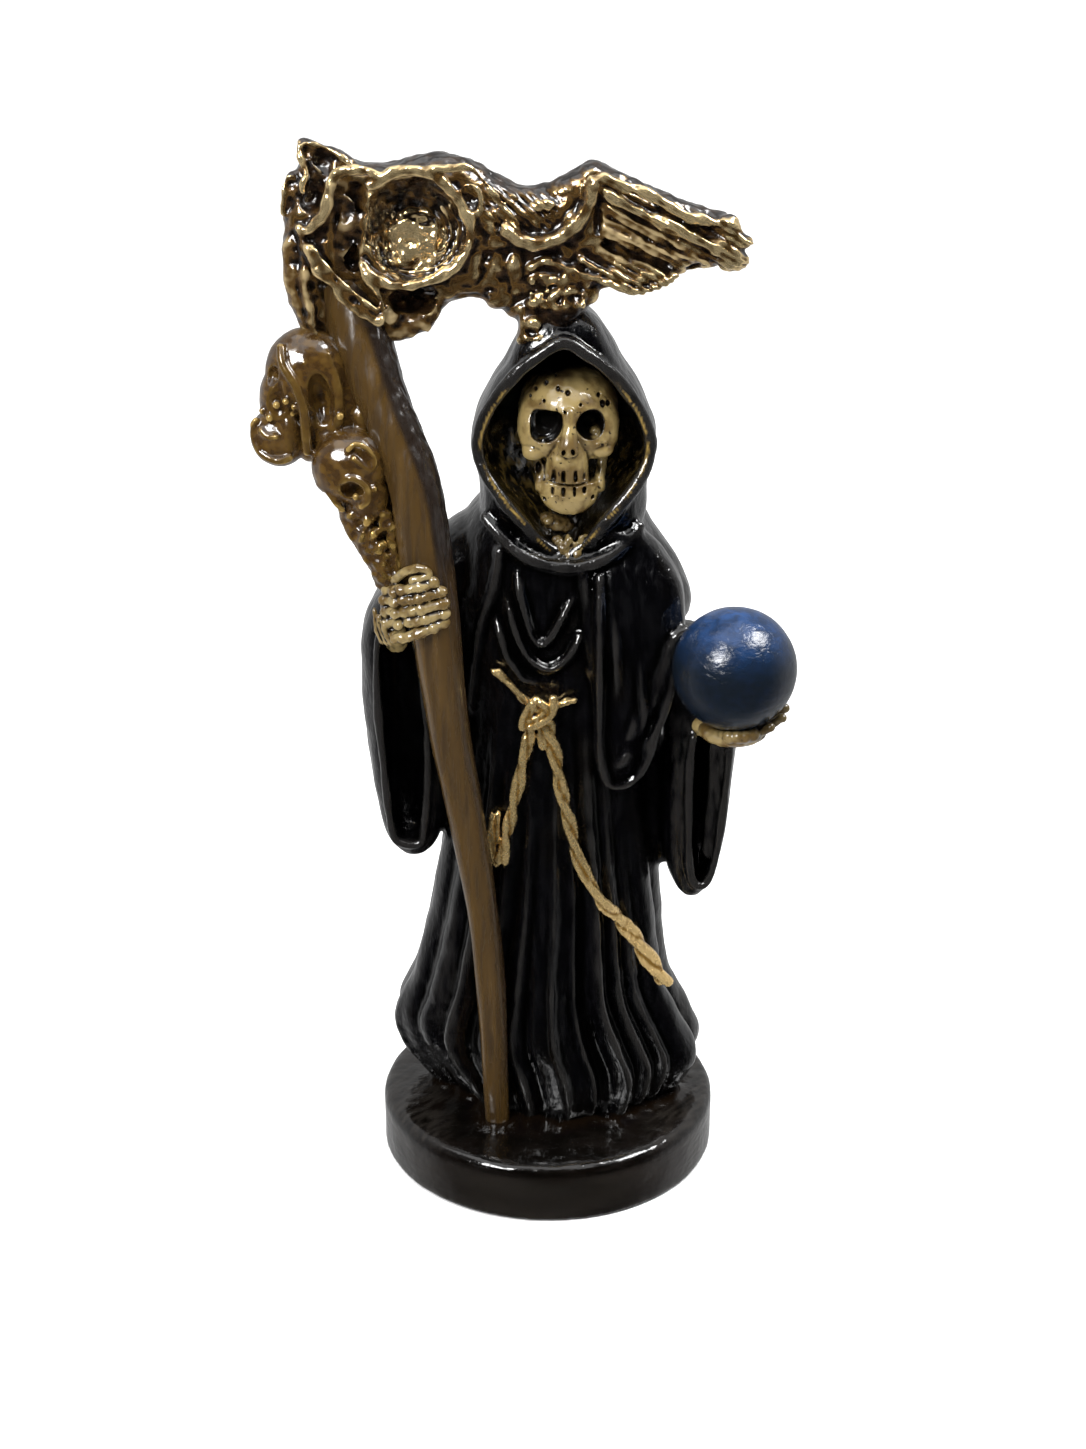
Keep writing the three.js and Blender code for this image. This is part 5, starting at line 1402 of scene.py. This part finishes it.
rope = {
    # line of (x, height), half width, how far it lies before the robe
    "cords": [([(-5.4, 50.3), (-4.3, 49.4), (-3.2, 48.2), (-1.8, 46.6)], 0.5, 0.3),
              ([(-0.2, 46.4), (0.8, 46.7), (1.8, 47.1), (2.6, 47.3)], 0.52, 0.5),
              ([(-1.6, 45), (-1.8, 43.7), (-2.4, 41.1), (-3, 38), (-3.6, 35.1), (-4.1, 32.9), (-4.7, 29.2)],
               0.68, 0.35),
              ([(-0.6, 45.6), (-0.2, 45), (0.4, 42.9), (0.9, 40), (1.5, 36.9), (2.2, 34), (3.2, 30),
                (5.4, 25.6), (7.1, 23.2), (9, 20.4), (10.7, 17.5), (12.3, 14.7)], 0.74, 0.4)],
    # the frayed end of the left cord, and the short loop under the knot
    "wisps": [[(-5.6, 35), (-5.7, 32.6), (-5.3, 29.6)], [(-5, 35.2), (-5.1, 32.6), (-4.9, 29.3)],
              [(-5.9, 33.4), (-5.9, 31), (-5.2, 28.8)],
              [(-0.8, 45), (-0.75, 42.6), (-0.4, 42.5), (-0.4, 44.6)]],
    "knot": [[(-2.5, 44.3), (-2.4, 45.6), (-1.4, 47.3), (-1.1, 47.5), (-1.8, 46), (-2, 44.5)],
             [(-2.2, 45.3), (-1, 45.8), (0.4, 47.1), (0.4, 48.2)],
             [(0.6, 47.6), (0.2, 46), (-1.2, 45.1), (-2.1, 44.7)],
             [(-1.8, 46.9), (-0.4, 46.4), (0.9, 46.9)], [(-1.1, 47.6), (-0.2, 46.8), (0, 45.4)]],
    "pitch": 7.6, "voxel": 0.24 * mm,
}


# The girdle: a cord from the waist's left side, a knot with a stub, and two twisted cords hanging from it
def makeRope():
    bm = bmesh.new()
    for line, radius, lift in rope["cords"]:
        lying = []
        for x, z in line:
            nearest = min(robeFront(x + aside, z) for aside in (-1.1, 0, 1.1))
            lying.append((x, nearest - lift - 0.8 * smoothStep(8, 11.4, x), z, radius))
        points = [Vector(row[:3]) for row in lying]
        length = sum((b - a).length for a, b in zip(points, points[1:]))
        turns = max(0.5, round(2 * length / rope["pitch"]) / 2)
        steps = round(turns * 12)
        for start in (0, math.pi):
            strand = []
            for k in range(steps + 1):
                wind = k / steps * turns * math.tau + start
                co = curvePoint(points, k / steps)
                swell = 1 + 0.4 * smoothStep(28, 18, co.z)
                aside, ahead = 0.44 * swell * radius * math.cos(wind), 0.3 * radius * math.sin(wind)
                strand.append((co.x + aside, co.y + ahead, co.z, 0.6 * swell * radius))
            addLimb(bm, strand, 1, 12, steps * 2)
    for line in rope["wisps"]:
        addLimb(bm, onRobe(line, 0.3, 0.45))
    knotY = robeFront(-0.4, 46) - 0.9
    addEgg(bm, (-0.8, knotY, 46.1), (1.4, 0.7, 1.1))
    for k, line in enumerate(rope["knot"]):
        addLimb(bm, [(x, knotY - 0.35 - 0.14 * (k % 3), z, 0.44) for x, z in line])
    piece = melt(keep(bm, "rope_girdle"), rope["voxel"])
    carve(piece, 1, lambda x, y, z: 0.1 * ripple(x, y, z / 1.8, 0.7))
    markRelief(piece, 16, 0.3 * mm)
    markArea(piece, "gilt", lambda x, y, z, normal: mix(0.68, 1, smoothStep(18, 33, z)))
    return piece


# Share of the radius by which the ball swells and dimples, with how many such waves a metre holds
globe = {"swell": (0.006, 180), "dimple": (0.002, 600), "segments": (144, 96)}


# The loose ball, cast and polished not quite round
def makeGlobe():
    bm = bmesh.new()
    columns, rows = globe["segments"]
    bmesh.ops.create_uvsphere(bm, u_segments=columns, v_segments=rows, radius=globeRadius)
    (swell, broad), (dimple, fine) = globe["swell"], globe["dimple"]
    for v in bm.verts:
        v.co *= 1 + swell * noise.noise(v.co * broad) + dimple * noise.noise(v.co * fine)
        v.co += globeCentre
    return keep(bm, "globe_ball")


studio = {
    # place, size of each side in metres, watts
    "lights": [("key", (-0.4, -0.5, 0.62), (0.25, 0.25), 6.5), ("side", (0.5, 0.0, 0.8), (0.36, 0.28), 7),
               ("over", (0, -0.1, 1.3), (1.6, 1.2), 8)],
    "aim": (0, 0, 0.11),
    "wash": {"strength": 2.8, "angle": 90},
    "floor": 16, "paper": "#FAFAFA",
    # the surroundings are dark before the figure and white behind it, and turn from one to the other between
    "front": "#0C0C0D", "behind": "#FFFFFF", "turn": (-0.5, 0.4), "strength": 0.45,
}


# White paper floor and backdrop; what stands in front of the figure is dark, so the lacquer stays deep
def setStage():
    bpy.ops.mesh.primitive_plane_add(size=studio["floor"])
    floor = bpy.context.object
    floor.name = "floor"
    floor.visible_glossy = False
    material, _ = startMaterial("paper_white_floor")
    paper = {"Base Color": linear(studio["paper"]), "Roughness": 0.9}
    floor.data.materials.append(finishMaterial(material, paper, None))

    world = bpy.data.worlds.new("studio")
    bpy.context.scene.world = world
    world.use_nodes = True
    coords = addNode(world, "ShaderNodeTexCoord").outputs["Generated"]
    depth = addNode(world, "ShaderNodeSeparateXYZ", None, {0: coords}).outputs[1]
    shade = blendColors(world, between(world, depth, *studio["turn"]), studio["front"], studio["behind"])
    world.node_tree.links.new(shade, world.node_tree.nodes["Background"].inputs[0])
    world.node_tree.nodes["Background"].inputs[1].default_value = studio["strength"]

    wash = bpy.data.lights.new("wash", "SUN")
    wash.energy, wash.angle = studio["wash"]["strength"], math.radians(studio["wash"]["angle"])
    lamp = bpy.data.objects.new("wash", wash)
    lamp.visible_glossy = False
    bpy.context.scene.collection.objects.link(lamp)

    aim = Vector(studio["aim"])
    for name, at, size, watts in studio["lights"]:
        light = bpy.data.lights.new(name, "AREA")
        light.shape, light.size, light.size_y, light.energy = "RECTANGLE", size[0], size[1], watts
        lamp = bpy.data.objects.new(name, light)
        lamp.location = at
        lamp.rotation_euler = (aim - Vector(at)).to_track_quat("-Z", "Y").to_euler()
        bpy.context.scene.collection.objects.link(lamp)
    bpy.context.scene.view_settings.view_transform = "Standard"


def setCamera():
    # Stands off to the front and above, as the photograph was taken
    view = {"place": (-1.05 * mm, -461.1 * mm, 293.3 * mm), "down": 22.96, "lens": 60, "film": 36}
    data = bpy.data.cameras.new("camera")
    data.lens, data.sensor_width = view["lens"], view["film"]
    camera = bpy.data.objects.new("camera", data)
    camera.location = view["place"]
    camera.rotation_euler = (math.radians(90 - view["down"]), 0, 0)
    bpy.context.scene.collection.objects.link(camera)
    bpy.context.scene.camera = camera


setCamera()
settle(makePlinth(), makeLacquer("brown_black_lacquer_plinth", plinthLook), "black_lacquer", "cast_figure")
settle(makeRobe(), makeLacquer("black_lacquer_robe", robeLook), "black_lacquer", "cast_figure")
settle(makeStaff(), makeLacquer("brown_lacquer_staff", staffLook), "black_lacquer", "cast_figure")
bone = makeBone("varnished_bone_enamel", boneLook)
settle(makeSkull(), bone, "black_lacquer", "cast_figure")
settle(makeNeck(), bone, "black_lacquer", "cast_figure")
handBone = makeBone("varnished_hand_enamel", handLook)
settle(makeRightHand(), handBone, "black_lacquer", "cast_figure")
settle(makeLeftHand(), handBone, "black_lacquer", "cast_figure")
bronze = makeRubbedGold("rubbed_bronze_carving", staffSkullLook)
settle(makeStaffSkulls(), bronze, "black_lacquer", "cast_figure")
settle(makeBlade(), makeRubbedGold("rubbed_gold_blade", bladeLook), "black_lacquer", "cast_figure")
settle(makeRope(), makeRubbedGold("rubbed_gold_rope", ropeLook), "black_lacquer", "cast_figure")
settle(makeGlobe(), makeMarbledBlue("marbled_blue_enamel"), "blue_glass", "globe")
setStage()
